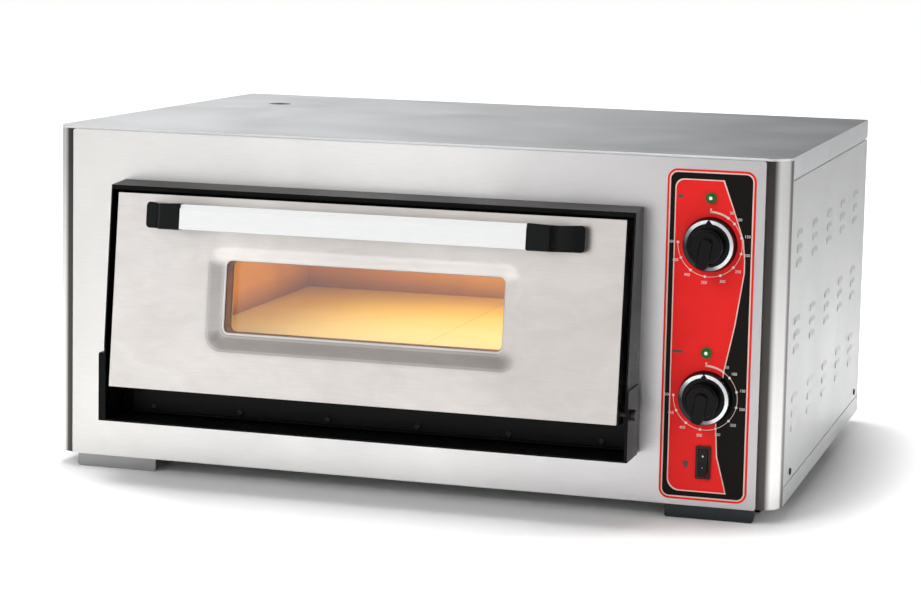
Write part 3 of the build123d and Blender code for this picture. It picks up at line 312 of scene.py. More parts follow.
def make_door_steel():
    """Cloudy satin skin with wiping marks, and painted shade: darker to its right and where it faces up."""
    light, dark = (0.90, 0.86, 0.835), (0.82, 0.785, 0.76)
    finish = brushed_steel(
        "door_steel", light, dark, roughness=0.34, grain=DOOR_BRUSHING, cloud=7.0,
    )
    marks = finish.noise(16.0, stretch=(1.0, 1.0, 2.2), detail=5.0, distortion=1.6)
    finish.shade(finish.ramp(marks, (0.36, (0.95, 0.945, 0.94)), (0.62, WHITE)))
    low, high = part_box("door_skin")
    # Painted shade: darker towards the right, and on faces that tilt up.
    right = finish.ramp(
        finish.axis("X", low.x, high.x), (0.1, WHITE), (0.85, (0.86, 0.85, 0.84)),
    )
    painted_shade_facing_up = finish.ramp(finish.tilt("Z"), (0.2, WHITE), (0.42, (0.68, 0.66, 0.65)))
    finish.shade(finish.multiply(right, painted_shade_facing_up))
    return finish.material


def make_black_enamel():
    """Semi-gloss black enamel with faint orange peel."""
    finish = Finish(
        "black_enamel", (0.0025, 0.0025, 0.003), roughness=0.22, IOR=1.2, Specular_IOR_Level=0.5,
    )
    finish.soft_edges(0.8 * MM)
    smudge = finish.noise(9.0, detail=4.0)
    finish.rough(finish.span(smudge, 0.24, 0.36))
    finish.bump(finish.noise(420.0, detail=2.0), strength=0.05, distance=0.3 * MM)
    return finish.material


def make_sill_enamel():
    """Duller black enamel on the sill, with a little dust."""
    finish = Finish(
        "sill_enamel", (0.006, 0.0065, 0.007), roughness=0.34, Specular_IOR_Level=0.12,
    )
    finish.soft_edges(0.5 * MM)
    dust = finish.noise(14.0, detail=5.0)
    finish.colour(finish.ramp(
        dust, (0.3, (0.004, 0.0045, 0.005)), (0.75, (0.009, 0.01, 0.011)),
    ))
    finish.rough(finish.span(dust, 0.3, 0.42))
    finish.bump(finish.noise(500.0, detail=2.0), strength=0.06, distance=0.2 * MM)
    return finish.material


def make_dark_screw():
    """Chemically blackened screw steel."""
    finish = Finish("blackened_screw", grey(0.022), roughness=0.45, metallic=0.7)
    finish.rough(finish.span(finish.noise(900.0), 0.3, 0.48))
    return finish.material


def make_bright_steel(name, colour, roughness):
    """Turned or plated steel for pins, shafts and small hardware."""
    finish = Finish(name, colour, roughness, metallic=1.0)
    finish.soft_edges(0.3 * MM)
    wear = finish.noise(260.0, detail=4.0)
    finish.rough(finish.span(wear, roughness - 0.05, roughness + 0.08))
    finish.bump(wear, strength=0.04, distance=0.1 * MM)
    return finish.material


def make_bar_alloy():
    """Pale satin anodised bar, drawn along its length."""
    finish = Finish("bar_alloy", (0.93, 0.935, 0.94), roughness=0.42, metallic=0.55)
    finish.soft_edges(0.6 * MM)
    drawn = finish.noise(60.0, stretch=(1, 30, 30), detail=5.0)
    finish.colour(finish.blend(drawn, (0.90, 0.905, 0.91), (0.95, 0.955, 0.96)))
    finish.rough(finish.span(drawn, 0.38, 0.46))
    finish.bump(drawn, strength=0.03, distance=0.1 * MM)
    return finish.material


def make_plastic(name, colour, roughness, grain=700.0, depth=0.12, soft=0.8 * MM, **inputs):
    """Moulded plastic with a fine spark-eroded grain."""
    finish = Finish(name, colour, roughness, **inputs)
    finish.soft_edges(soft)
    texture = finish.noise(grain, detail=3.0)
    finish.rough(finish.span(texture, roughness - 0.04, roughness + 0.06))
    finish.bump(texture, strength=depth, distance=0.15 * MM)
    return finish.material


def make_rope():
    """Woven glass rope: tight diagonal strands."""
    finish = Finish("seal_rope", (0.30, 0.29, 0.27), roughness=0.9)
    weave = {"Scale": 260.0, "Distortion": 1.5}
    wave = finish.node("ShaderNodeTexWave", weave, bands_direction="DIAGONAL")
    finish.link(finish.place, wave.inputs["Vector"])
    strands = wave.outputs["Fac"]
    finish.colour(finish.ramp(strands, (0.2, (0.16, 0.15, 0.13)), (0.8, (0.40, 0.38, 0.35))))
    finish.bump(strands, strength=0.6, distance=0.6 * MM)
    return finish.material


def make_glass():
    """Clear toughened glass with very slight smears."""
    finish = Finish(
        "oven_glass", (1.0, 1.0, 0.99), roughness=0.0,
        Transmission_Weight=1.0, IOR=1.45, Specular_IOR_Level=0.08,
    )
    smear = finish.noise(22.0, detail=4.0, distortion=1.0)
    finish.rough(finish.span(smear, 0.0, 0.035, low=0.45, high=0.8))
    return finish.material


def make_red_seal():
    """Dull red-brown silicone around the window."""
    finish = Finish("red_seal", (0.42, 0.10, 0.03), roughness=0.5)
    tone = finish.noise(45.0, detail=4.0)
    finish.colour(finish.blend(tone, (0.36, 0.08, 0.025), (0.48, 0.13, 0.04)))
    finish.bump(finish.noise(800.0), strength=0.1, distance=0.1 * MM)
    return finish.material


def make_wool():
    """Mineral wool: matted yellow-brown fibres."""
    finish = Finish("mineral_wool", (0.42, 0.34, 0.15), roughness=0.95)
    fibres = finish.noise(180.0, stretch=(1, 1, 4), detail=8.0, distortion=2.0)
    finish.colour(finish.blend(fibres, (0.30, 0.23, 0.09), (0.52, 0.43, 0.20)))
    finish.bump(fibres, strength=0.8, distance=2 * MM)
    return finish.material


def make_chamber_steel():
    """Aluminised chamber sheet, straw coloured from heat and deepened to orange by painted warm lamplight, and
    browner at its foot and top.
    """
    finish = Finish(
        "chamber_steel", (0.88, 0.50, 0.06), roughness=0.5, metallic=0.15, Specular_IOR_Level=0.2,
    )
    heat = finish.noise(6.0, detail=5.0, distortion=1.2)
    low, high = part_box("chamber_liner")
    # Heat tint and painted warm lamplight together: a deep straw orange that varies at random.
    finish.colour(finish.blend(heat, (0.82, 0.40, 0.03), (0.95, 0.56, 0.06)))
    finish.shade(finish.ramp(
        finish.axis("Z", low.z, high.z),
        (0.19, (0.42, 0.28, 0.20)),
        (0.36, (0.95, 0.86, 0.74)),
        (0.6, WHITE),
        (1.0, (0.85, 0.74, 0.60)),
    ))
    finish.rough(finish.span(heat, 0.42, 0.58))
    finish.bump(finish.noise(30.0, detail=5.0), strength=0.05, distance=1 * MM)
    return finish.material


def make_stone():
    """Sandy cordierite: speckled and pitted, with painted warm lamplight: pale in front and orange towards the
    back.
    """
    finish = Finish("baking_stone", (0.80, 0.72, 0.52), roughness=0.85)
    low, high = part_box("baking_stones")
    speck = finish.noise(320.0, detail=6.0)
    blotch = finish.noise(9.0, detail=5.0, distortion=0.8)
    finish.colour(finish.blend(speck, (0.84, 0.78, 0.60), (0.95, 0.91, 0.76)))
    finish.shade(finish.blend(blotch, (0.95, 0.92, 0.85), WHITE))
    # Painted warm lamplight: faintly cool in front, turning orange towards the back.
    finish.shade(finish.ramp(
        finish.axis("Y", low.y, high.y),
        (0.0, (0.90, 0.98, 1.0)),
        (0.3, (0.90, 0.92, 0.72)),
        (0.75, (0.92, 0.72, 0.16)),
    ))
    finish.bump(speck, strength=0.35, distance=0.5 * MM)
    return finish.material


def make_element():
    """An element's sheath: dark, scaled metal."""
    finish = Finish("element_sheath", (0.06, 0.05, 0.045), roughness=0.6, metallic=0.6)
    scale = finish.noise(150.0, detail=5.0)
    finish.colour(finish.blend(scale, (0.04, 0.034, 0.03), (0.12, 0.085, 0.06)))
    finish.bump(scale, strength=0.2, distance=0.2 * MM)
    return finish.material


def make_lamp(name, colour, strength):
    """A softly glowing frosted bulb."""
    finish = Finish(name, colour, roughness=0.3)
    finish.set("Emission Color", (*colour, 1.0))
    finish.set("Emission Strength", strength)
    finish.rough(finish.span(finish.noise(300.0), 0.25, 0.45))
    return finish.material


INK_VARIATION = 0.92


def make_film(name, colour):
    """Printed polyester film: satin lacquer over solid ink, with a fine tooth."""
    finish = Finish(name, colour, roughness=0.45, Specular_IOR_Level=0.1)
    ink = finish.noise(30.0, detail=5.0)
    deeper = tuple(channel * INK_VARIATION for channel in colour)
    finish.colour(finish.blend(ink, deeper, colour))
    finish.rough(finish.span(ink, 0.42, 0.5))
    finish.bump(finish.noise(1500.0), strength=0.03, distance=0.05 * MM)
    return finish.material


PRINT_RED = (0.90, 0.024, 0.022)

SLOT_MATERIALS = {
    "steel_case": make_case_steel(),
    "steel_front": make_front_steel(),
    "steel_foot": make_foot_steel(),
    "black_enamel": make_black_enamel(),
    "sill_steel": make_sill_enamel(),
    "dark_screw": make_dark_screw(),
    "pin_steel": make_bright_steel("pin_steel", (0.36, 0.36, 0.37), roughness=0.32),
    "door_steel": make_door_steel(),
    "rope_seal": make_rope(),
    "clear_glass": make_glass(),
    "red_seal": make_red_seal(),
    "bar_alloy": make_bar_alloy(),
    "bracket_plastic": make_plastic(
        "bracket_plastic", (0.004, 0.0045, 0.005), roughness=0.18, Specular_IOR_Level=0.14,
    ),
    "mineral_wool": make_wool(),
    "chamber_steel": make_chamber_steel(),
    "baking_stone": make_stone(),
    "support_steel": make_bright_steel("support_steel", (0.45, 0.45, 0.44), roughness=0.42),
    "element_sheath": make_element(),
    "lamp_bulb": make_lamp("lamp_bulb", (1.0, 0.72, 0.36), strength=6.0),
    "overlay_film": make_film("overlay_red", PRINT_RED),
    "knob_plastic": make_plastic(
        "knob_plastic", (0.003, 0.003, 0.0035), roughness=0.12,
        grain=900.0, depth=0.02, Specular_IOR_Level=0.14,
    ),
    "shaft_steel": make_bright_steel("shaft_steel", (0.55, 0.55, 0.56), roughness=0.3),
    "device_plastic": make_plastic("device_plastic", (0.50, 0.46, 0.38), roughness=0.5),
    "pilot_lens": make_plastic(
        "pilot_rim", (0.008, 0.10, 0.015), roughness=0.2, depth=0.02, soft=0.3 * MM,
    ),
    "switch_plastic": make_plastic(
        "switch_bezel", (0.04, 0.014, 0.012), roughness=0.3,
        soft=0.4 * MM, Specular_IOR_Level=0.2,
    ),
    "rocker_plastic": make_plastic(
        "rocker_plastic", grey(0.006), roughness=0.22, soft=0.4 * MM, Specular_IOR_Level=0.2,
    ),
    "gland_nylon": make_plastic("gland_nylon", (0.03, 0.03, 0.032), roughness=0.45),
}
NODE_MATERIALS = {
    "top_cover": make_cover_steel(),
    "right_column": make_column_steel("right_column_steel", "right_column", mirrored=False),
    "left_column": make_column_steel("left_column_steel", "left_column", mirrored=True),
    "hinge_pins": make_bright_steel("hinge_pin_steel", (0.06, 0.06, 0.062), roughness=0.38),
}
INKS = {
    "red": make_film("ink_red", PRINT_RED),
    "black": make_film("ink_black", (0.007, 0.006, 0.005)),
    "pale": make_film("ink_pale", (0.88, 0.62, 0.54)),
    "white": make_film("ink_white", (0.86, 0.80, 0.78)),
    "grey": make_film("ink_grey", (0.10, 0.09, 0.09)),
}


def dress_frame():
    """Every CAD node gets its own material, or else its slot's."""
    for row in frame["record"]["subparts"]:
        mesh = NODES[row["node"]].data
        mesh.materials.clear()
        slot_material = SLOT_MATERIALS[row["material_slot"]]
        mesh.materials.append(NODE_MATERIALS.get(row["node"], slot_material))


# ------------------------------------------------------------------ building helpers

# Faces with more corners than this are cut into triangles.
MOST_CORNERS = 4
# A band has a step every so many degrees, and never fewer steps than this.
BAND_STEP = 4
BAND_MIN_STEPS = 4
CORNER_STEPS = 8
# A round mark's points end here, and its last side closes it.
MARK_END = 345
MARK_STEPS = 14


def show(piece):
    """Put an object in the scene."""
    bpy.context.scene.collection.objects.link(piece)


def add_mesh(name, builder, material, body="root", smooth=False):
    """Turn a finished bmesh into a piece that rides a body."""
    mesh = bpy.data.meshes.new(name)
    builder.to_mesh(mesh)
    builder.free()
    if smooth:
        mesh.shade_smooth()
    piece = bpy.data.objects.new(name, mesh)
    show(piece)
    mesh.materials.append(material)
    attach(piece, body)
    return piece


def slab(name, outline, y_back, thickness, material, body="root"):
    """A thin flat piece on the front, from an (x, z) outline in metres."""
    builder = bmesh.new()
    corners = [builder.verts.new((x, y_back, z)) for x, z in outline]
    face = builder.faces.new(corners)
    grown = bmesh.ops.extrude_face_region(builder, geom=[face])
    moved = [item for item in grown["geom"] if isinstance(item, bmesh.types.BMVert)]
    bmesh.ops.translate(builder, verts=moved, vec=(0, -thickness, 0))
    bmesh.ops.recalc_face_normals(builder, faces=builder.faces)
    large = [face for face in builder.faces if len(face.verts) > MOST_CORNERS]
    bmesh.ops.triangulate(builder, faces=large)
    return add_mesh(name, builder, material, body)


def arc_points(centre, radius, start, end, steps):
    """Points round a circle; 0 degrees is up and the angle runs clockwise."""
    points = []
    for index in range(steps + 1):
        angle = math.radians(start + (end - start) * index / steps)
        points.append((
            centre[0] + radius * math.sin(angle),
            centre[1] + radius * math.cos(angle),
        ))
    return points


def point_at(centre, radius, angle):
    """One point on a circle."""
    return arc_points(centre, radius, angle, angle, 1)[0]


def mark_outline(centre, radius):
    """A small round mark."""
    return arc_points(centre, radius, 0, MARK_END, MARK_STEPS)


def band_outline(centre, inner, outer, start, end):
    """Part of a flat ring."""
    steps = max(BAND_MIN_STEPS, int(abs(end - start) / BAND_STEP))
    out = arc_points(centre, outer, start, end, steps)
    return out + arc_points(centre, inner, end, start, steps)


def rounded_outline(left, right, bottom, top, radius):
    """A rectangle with rounded corners, clockwise from its top left."""
    places = (
        (left, top, 1, -1, 270),
        (right, top, -1, -1, 0),
        (right, bottom, -1, 1, 90),
        (left, bottom, 1, 1, 180),
    )
    points = []
    for x, z, step_x, step_z, start in places:
        centre = (x + step_x * radius, z + step_z * radius)
        points += arc_points(centre, radius, start, start + 90, CORNER_STEPS)
    return points


# ------------------------------------------------------------------ control overlay print

# Each printed layer is one ink's thickness in front of the last.
INK = 0.05 * MM
BORDER = 2.4 * MM
PALE_LINE = 1.6 * MM
FIELD_LINE = 1.3 * MM
OVERLAY_CORNER = 12 * MM
# The field's right side from the top down: x and the height over the body's bottom, in mm.
FIELD_RIGHT_SIDE = (
    (377.0, 375.7), (389.0, 343.0), (401.0, 308.8), (403.3, 285.0), (403.3, 271.0),
    (394.2, 209.5), (383.8, 159.1), (376.1, 98.3), (378.3, 59.5), (389.7, 16.4),
)
FIELD_TOP = FIELD_RIGHT_SIDE[0][1] * MM
FIELD_BOTTOM = FIELD_RIGHT_SIDE[-1][1] * MM
FIELD_LEFT_INSET = 9.2 * MM
FIELD_TOP_CORNER = 10 * MM
FIELD_BOTTOM_CORNER = 14 * MM


def field_corner(left, height, radius, start):
    """One of the field's two left corners."""
    return arc_points((left + radius, height), radius, start, start + 90, CORNER_STEPS)


def field_outline(inset):
    """The red field inside the black one: straight on the left, waisted on the right."""
    left = OVERLAY_LOW.x + FIELD_LEFT_INSET + inset
    top = BODY_BOTTOM + FIELD_TOP - inset
    bottom = BODY_BOTTOM + FIELD_BOTTOM + inset
    points = field_corner(left, top - FIELD_TOP_CORNER, FIELD_TOP_CORNER, 270)
    for x, z in FIELD_RIGHT_SIDE:
        height = min(max(BODY_BOTTOM + z * MM, bottom), top)
        points.append((x * MM - inset, height))
    points += field_corner(left, bottom + FIELD_BOTTOM_CORNER, FIELD_BOTTOM_CORNER, 180)
    return points


def border_outline(inset):
    """The overlay's own outline, brought in all round."""
    low, high = OVERLAY_LOW, OVERLAY_HIGH
    return rounded_outline(
        low.x + inset, high.x - inset, low.z + inset, high.z - inset, OVERLAY_CORNER - inset,
    )


def print_overlay():
    """The overlay's border, its black field and the red field with its pale line."""
    layers = (
        ("overlay_pale_line", border_outline(BORDER), "pale"),
        ("overlay_black_field", border_outline(BORDER + PALE_LINE), "black"),
        ("overlay_field_line", field_outline(0.0), "pale"),
        ("overlay_red_field", field_outline(FIELD_LINE), "red"),
    )
    for index, (name, outline, ink) in enumerate(layers):
        slab(name, outline, OVERLAY_LOW.y - index * INK, INK, INKS[ink])


# The dials and signs lie in front of the overlay's flat layers.
FLAT_LAYERS = 4
DIAL_Y = OVERLAY_LOW.y - FLAT_LAYERS * INK
DIAL_RADIUS = 37 * MM
DIAL_LINE_HALF = 0.35 * MM
DIAL_START = 33
DIAL_END = 272
DIAL_ARC_INSIDE = 1.0 * MM
DIAL_ARC_OUTSIDE = 1.2 * MM
ZERO_TICK_OUTSIDE = 4.0 * MM
ZERO_TICK_HALF = 1.2
FIRST_STOP = 47.5
STOP_STEP = 28.0
EVEN_STOPS = 9
DIAL_STOPS = [DIAL_START] + [FIRST_STOP + STOP_STEP * index for index in range(EVEN_STOPS)]
DEGREES_A_STOP = 50
DOT_RADIUS = 1.5 * MM
DOT_THICK = 1.4 * INK
NUMBER_OUT = 7.0 * MM
NUMBER_HEIGHT = 4.6 * MM


def print_mark(name, outline, ink, thickness=INK):
    """One mark in front of the overlay's flat layers."""
    slab(name, outline, DIAL_Y, thickness, INKS[ink])


def print_number(name, text, centre, height):
    """A small plain number on the dial's print."""
    curve = bpy.data.curves.new(name, "FONT")
    curve.body = text
    curve.size = height
    curve.align_x = "CENTER"
    curve.align_y = "CENTER"
    curve.extrude = INK / 2
    curve.materials.append(INKS["white"])
    piece = bpy.data.objects.new(name, curve)
    show(piece)
    piece.location = (centre[0], DIAL_Y - INK / 2, centre[1])
    piece.rotation_euler = (math.radians(90), 0, 0)
    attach(piece, "root")


def print_dial(level, axis):
    """A thin line round the knob, its thick start, a tick at zero and a number at each stop."""
    centre = (axis[0], axis[2])
    bands = (
        ("dial_line", -DIAL_LINE_HALF, DIAL_LINE_HALF, DIAL_START, DIAL_END),
        ("dial_arc", -DIAL_ARC_INSIDE, DIAL_ARC_OUTSIDE, 0, DIAL_START),
        ("zero_tick", -DIAL_ARC_INSIDE, ZERO_TICK_OUTSIDE, -ZERO_TICK_HALF, ZERO_TICK_HALF),
    )
    for name, inside, outside, start, end in bands:
        inner, outer = DIAL_RADIUS + inside, DIAL_RADIUS + outside
        print_mark(f"{level}_{name}", band_outline(centre, inner, outer, start, end), "pale")
    for index, angle in enumerate(DIAL_STOPS):
        dot = point_at(centre, DIAL_RADIUS, angle)
        print_mark(f"{level}_dot_{index}", mark_outline(dot, DOT_RADIUS), "white", DOT_THICK)
        label = point_at(centre, DIAL_RADIUS + NUMBER_OUT, angle)
        number = str(DEGREES_A_STOP * (index + 1))
        print_number(f"{level}_number_{index}", number, label, NUMBER_HEIGHT)


PILOT_HEIGHTS = {"upper": 355 * MM, "lower": 178 * MM}
SIGN_INSET = 16 * MM
SIGN_CORNER = 1 * MM
# Left, right, bottom and top of each heat sign round its place, in mm.
HEAT_SIGNS = {"upper": (-3.0, 3.0, -1.0, 2.6), "lower": (-5.0, 7.0, -1.7, 1.7)}
BULB_X = 342 * MM
BULB_HEIGHT = 49 * MM
BULB_RADIUS = 3.4 * MM
BULB_HALF_ARC = 140
BULB_STEPS = 20
BULB_FOOT_HALF = 1.5 * MM
BULB_FOOT_DROP = 5 * MM


def print_symbols():
    """Plain generic signs: which heat, upper or lower, and a bulb beside the switch."""
    x = OVERLAY_LOW.x + SIGN_INSET
    for level, sides in HEAT_SIGNS.items():
        z = BODY_BOTTOM + PILOT_HEIGHTS[level]
        left, right, bottom, top = (side * MM for side in sides)
        outline = rounded_outline(x + left, x + right, z + bottom, z + top, SIGN_CORNER)
        print_mark(f"{level}_heat_sign", outline, "grey")
    z = BODY_BOTTOM + BULB_HEIGHT
    glass = arc_points((BULB_X, z), BULB_RADIUS, -BULB_HALF_ARC, BULB_HALF_ARC, BULB_STEPS)
    foot_z = z - BULB_FOOT_DROP
    foot = [(BULB_X + BULB_FOOT_HALF, foot_z), (BULB_X - BULB_FOOT_HALF, foot_z)]
    print_mark("bulb_sign", glass + foot, "grey")


# ------------------------------------------------------------------ knobs, lamps and switch

RING_INNER = 24.8 * MM
RING_OUTER = 28.8 * MM
RING_THICK = 0.5 * MM
RING_STEPS = 90
SKIRT_DEPTH = 10.6 * MM
# The index cuts the ring: this many degrees each side at its foot and at its tip.
NOTCH_FOOT_HALF = 9.0
NOTCH_TIP_HALF = 1.2
# The painted reflection on each knob's ring is brightest towards this direction.
RING_PAINTED_LIGHT_ANGLE = math.radians(55)
RING_PAINTED_LIGHT = (math.sin(RING_PAINTED_LIGHT_ANGLE), 0.0, math.cos(RING_PAINTED_LIGHT_ANGLE))


def make_ring_metal(name, axis):
    """Spun aluminium with a painted reflection: bright on one side and dark on the other."""
    finish = Finish(name, (0.85, 0.86, 0.88), roughness=0.26, metallic=1.0)
    finish.soft_edges(0.3 * MM)
    out = finish.node("ShaderNodeVectorMath", {1: (axis[0], 0.0, axis[2])}, operation="SUBTRACT")
    side = finish.node("ShaderNodeVectorMath", {1: RING_PAINTED_LIGHT}, operation="DOT_PRODUCT")
    finish.link(finish.place, out.inputs[0])
    finish.link(out.outputs["Vector"], side.inputs[0])
    around = finish.span(side.outputs["Value"], 0.0, 1.0, -RING_OUTER, RING_OUTER)
    # Painted reflection round the ring: dark on one side and bright on the other, turning with the knob.
    finish.colour(finish.ramp(
        around,
        (0.12, (0.04, 0.04, 0.045)),
        (0.34, (0.30, 0.31, 0.33)),
        (0.46, (0.85, 0.86, 0.88)),
        (0.8, (0.95, 0.96, 0.98)),
        (1.0, (0.62, 0.63, 0.66)),
    ))
    finish.shade(finish.blend(finish.noise(300.0, detail=4.0), grey(0.88), WHITE))
    return finish.material


def add_knob_ring(body, node, axis, face_y):
    """The bright ring on the knob's face, cut by a pointed black index at the top."""
    centre = (axis[0], axis[2])
    outer = arc_points(centre, RING_OUTER, NOTCH_TIP_HALF, 360 - NOTCH_TIP_HALF, RING_STEPS)
    inner = arc_points(centre, RING_INNER, 360 - NOTCH_FOOT_HALF, NOTCH_FOOT_HALF, RING_STEPS)
    metal = make_ring_metal(f"{node}_ring_metal", axis)
    slab(f"{node}_ring", outer + inner, face_y, RING_THICK, metal, body)


# Each mark's rise from the rocker's middle, and its radius.
ROCKER_MARKS = {
    "upper_rocker_mark": (7 * MM, 1.1 * MM),
    "lower_rocker_mark": (-6 * MM, 0.5 * MM),
}
ROCKER_MARK_SUNK = 0.25 * MM
ROCKER_MARK_THICK = 0.4 * MM
RAY_START = 10 * MM


def add_rocker_marks():
    """Two small pale marks on the rocker's face, one for each way it is pressed."""
    low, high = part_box("switch_rocker")
    middle = (low + high) / 2
    for name, (rise, radius) in ROCKER_MARKS.items():
        start = Vector((middle.x, low.y - RAY_START, middle.z + rise))
        place = NODES["switch_rocker"].ray_cast(start, Vector((0, 1, 0)))[1]
        outline = mark_outline((middle.x, middle.z + rise), radius)
        slab(name, outline, place.y + ROCKER_MARK_SUNK, ROCKER_MARK_THICK, INKS["white"],
             "rocker")


PILOT_RIM = 1.4 * MM
LENS_RADIUS = 5.7 * MM
LENS_RISE = 3.2 * MM
LENS_RINGS = 8
LENS_SIDES = 36
# A spherical gradient is one at its centre and nothing a unit away: this is units per metre.
GLOW_SCALE = 110


def make_lens_glow():
    """A lit green lens: nearly white in its middle, deep green at its rim."""
    finish = Finish("pilot_glow", (0.04, 0.4, 0.05), roughness=0.15)
    mapping = finish.node("ShaderNodeMapping", {"Scale": grey(GLOW_SCALE)})
    ball = finish.node("ShaderNodeTexGradient", gradient_type="SPHERICAL")
    finish.link(finish.place, mapping.inputs["Vector"])
    finish.link(mapping.outputs["Vector"], ball.inputs["Vector"])
    glow = finish.ramp(
        ball.outputs["Fac"],
        (0.36, (0.01, 0.16, 0.015)),
        (0.48, (0.07, 0.50, 0.06)),
        (0.60, (0.34, 0.90, 0.28)),
        (0.76, (0.85, 1.0, 0.80)),
    )
    finish.link(glow, finish.shader.inputs["Emission Color"])
    finish.set("Emission Strength", 0.95)
    finish.colour(finish.blend(finish.noise(400.0), (0.01, 0.14, 0.015), (0.02, 0.2, 0.025)))
    return finish.material


LENS_GLOW = make_lens_glow()


def add_lamp_lens(name, x, y_base, z):
    """A glowing dome over the pilot lamp's own dome."""
    builder = bmesh.new()
    turn = 2 * math.pi / LENS_SIDES
    rings = []
    for index in range(LENS_RINGS):
        tilt = math.pi / 2 * index / LENS_RINGS
        radius = LENS_RADIUS * math.cos(tilt)
        y = LENS_RISE * (1 - math.sin(tilt))
        rings.append([
            builder.verts.new((radius * math.cos(turn * k), y, radius * math.sin(turn * k)))
            for k in range(LENS_SIDES)
        ])
    tip = builder.verts.new((0, 0, 0))
    for k in range(LENS_SIDES):
        after = (k + 1) % LENS_SIDES
        for below, above in zip(rings, rings[1:]):
            builder.faces.new((below[k], below[after], above[after], above[k]))
        builder.faces.new((rings[-1][k], rings[-1][after], tip))
    builder.faces.new(rings[0][::-1])
    bmesh.ops.recalc_face_normals(builder, faces=builder.faces)
    piece = add_mesh(name, builder, LENS_GLOW, smooth=True)
    piece.location = (x, y_base - LENS_RISE, z)


# ------------------------------------------------------------------ stage, light and camera

FLOOR_HALF = 8.0
FLOOR_GREY = 0.92
# The floor turns to plain white between these distances from the oven's middle.
FLOOR_GLOW_START = 0.46
FLOOR_GLOW_END = 0.82


def make_floor():
    """A pale floor that fades to plain white away from the oven."""
    half = FLOOR_HALF
    corners = [(-half, -half, 0), (half, -half, 0), (half, half, 0), (-half, half, 0)]
    mesh = bpy.data.meshes.new("floor")
    mesh.from_pydata(corners, [], [(0, 1, 2, 3)])
    floor = bpy.data.objects.new("floor", mesh)
    show(floor)
    material = bpy.data.materials.new("floor_white")
    material.use_nodes = True
    tree = material.node_tree
    tree.nodes.clear()
    output = new_node(tree, "ShaderNodeOutputMaterial")
    diffuse = new_node(tree, "ShaderNodeBsdfDiffuse", {"Color": (*grey(FLOOR_GREY), 1)})
    glow = new_node(tree, "ShaderNodeEmission")
    rays = new_node(tree, "ShaderNodeLightPath")
    place = new_node(tree, "ShaderNodeTexCoord")
    distance = new_node(tree, "ShaderNodeVectorMath", operation="LENGTH")
    seen = new_node(tree, "ShaderNodeMath", operation="MULTIPLY")
    add = new_node(tree, "ShaderNodeAddShader")
    tree.links.new(place.outputs["Object"], distance.inputs[0])
    fade = map_range(tree, distance.outputs["Value"], FLOOR_GLOW_START, FLOOR_GLOW_END)
    tree.links.new(rays.outputs["Is Camera Ray"], seen.inputs[0])
    tree.links.new(fade, seen.inputs[1])
    tree.links.new(seen.outputs[0], glow.inputs["Strength"])
    tree.links.new(diffuse.outputs[0], add.inputs[0])
    tree.links.new(glow.outputs[0], add.inputs[1])
    tree.links.new(add.outputs[0], output.inputs["Surface"])
    mesh.materials.append(material)


# The studio's grey levels: across its front half, across its back half, and from floor to ceiling.
FRONT_LEVELS = (
    (-1.0, 0.80), (-0.3, 0.90), (-0.05, 0.85), (0.15, 0.30), (0.6, 0.28), (0.78, 1.0), (1.0, 1.0),
)
BACK_LEVELS = (
    (-1.0, 0.80), (-0.5, 0.95), (-0.3, 0.72), (-0.12, 0.42), (0.2, 0.36), (0.7, 0.45),
    (0.86, 1.0), (1.0, 1.0),
)
HEIGHT_LEVELS = ((-1.0, 1.0), (0.15, 1.0), (0.5, 0.62), (1.0, 0.55))
HALVES_MEET = 0.15
ROOM_LIGHT = 0.85
ROOM_REFLECTION = 1.2


def room_levels(tree, value, levels):
    """Grey levels along a value that runs from -1 to 1."""
    stops = [((position + 1) / 2, grey(level)) for position, level in levels]
    return colour_ramp(tree, map_range(tree, value, -1.0, 1.0), stops)


def make_world():
    """White behind everything; for light and reflections, a studio with dim flags to the right."""
    world = bpy.data.worlds.new("studio")
    bpy.context.scene.world = world
    world.use_nodes = True
    tree = world.node_tree
    tree.nodes.clear()
    output = new_node(tree, "ShaderNodeOutputWorld")
    studio = new_node(tree, "ShaderNodeBackground")
    white = new_node(tree, "ShaderNodeBackground", {"Color": (*WHITE, 1)})
    choose = new_node(tree, "ShaderNodeMixShader")
    rays = new_node(tree, "ShaderNodeLightPath")
    direction = new_node(tree, "ShaderNodeTexCoord").outputs["Generated"]
    x, y, z = (vector_part(tree, direction, axis) for axis in "XYZ")
    behind = map_range(tree, y, -HALVES_MEET, HALVES_MEET)
    front = room_levels(tree, x, FRONT_LEVELS)
    back = room_levels(tree, x, BACK_LEVELS)
    around = mix_colours(tree, front, back, behind, blend_type="MIX")
    shaded = mix_colours(tree, around, room_levels(tree, z, HEIGHT_LEVELS))
    tree.links.new(shaded, studio.inputs["Color"])
    is_glossy = rays.outputs["Is Glossy Ray"]
    strength = map_range(tree, is_glossy, 0.0, 1.0, ROOM_LIGHT, ROOM_REFLECTION)
    tree.links.new(strength, studio.inputs["Strength"])
    tree.links.new(rays.outputs["Is Camera Ray"], choose.inputs["Fac"])
    tree.links.new(studio.outputs[0], choose.inputs[1])
    tree.links.new(white.outputs[0], choose.inputs[2])
    tree.links.new(choose.outputs[0], output.inputs["Surface"])


# Place, width, height and power of each softbox over the oven.
SOFTBOXES = {
    "key_softbox": ((-2.0, -3.4, 3.2), 2.4, 1.8, 85),
    "top_softbox": ((-0.3, 0.2, 3.6), 1.6, 1.6, 110),
}
CEILING_GLOW_DROP = 25 * MM
CEILING_GLOW_SIDE = 0.4
CEILING_GLOW_POWER = 0.72
CEILING_GLOW_COLOUR = (1.0, 0.92, 0.66)
LAMP_GLOW_POWER = 0.34
LAMP_GLOW_COLOUR = (1.0, 0.88, 0.58)
LAMP_GLOW_RADIUS = 0.03
LAMP_GLOW_INWARD = 0.05
LAMP_GLOW_FORWARD = 0.12


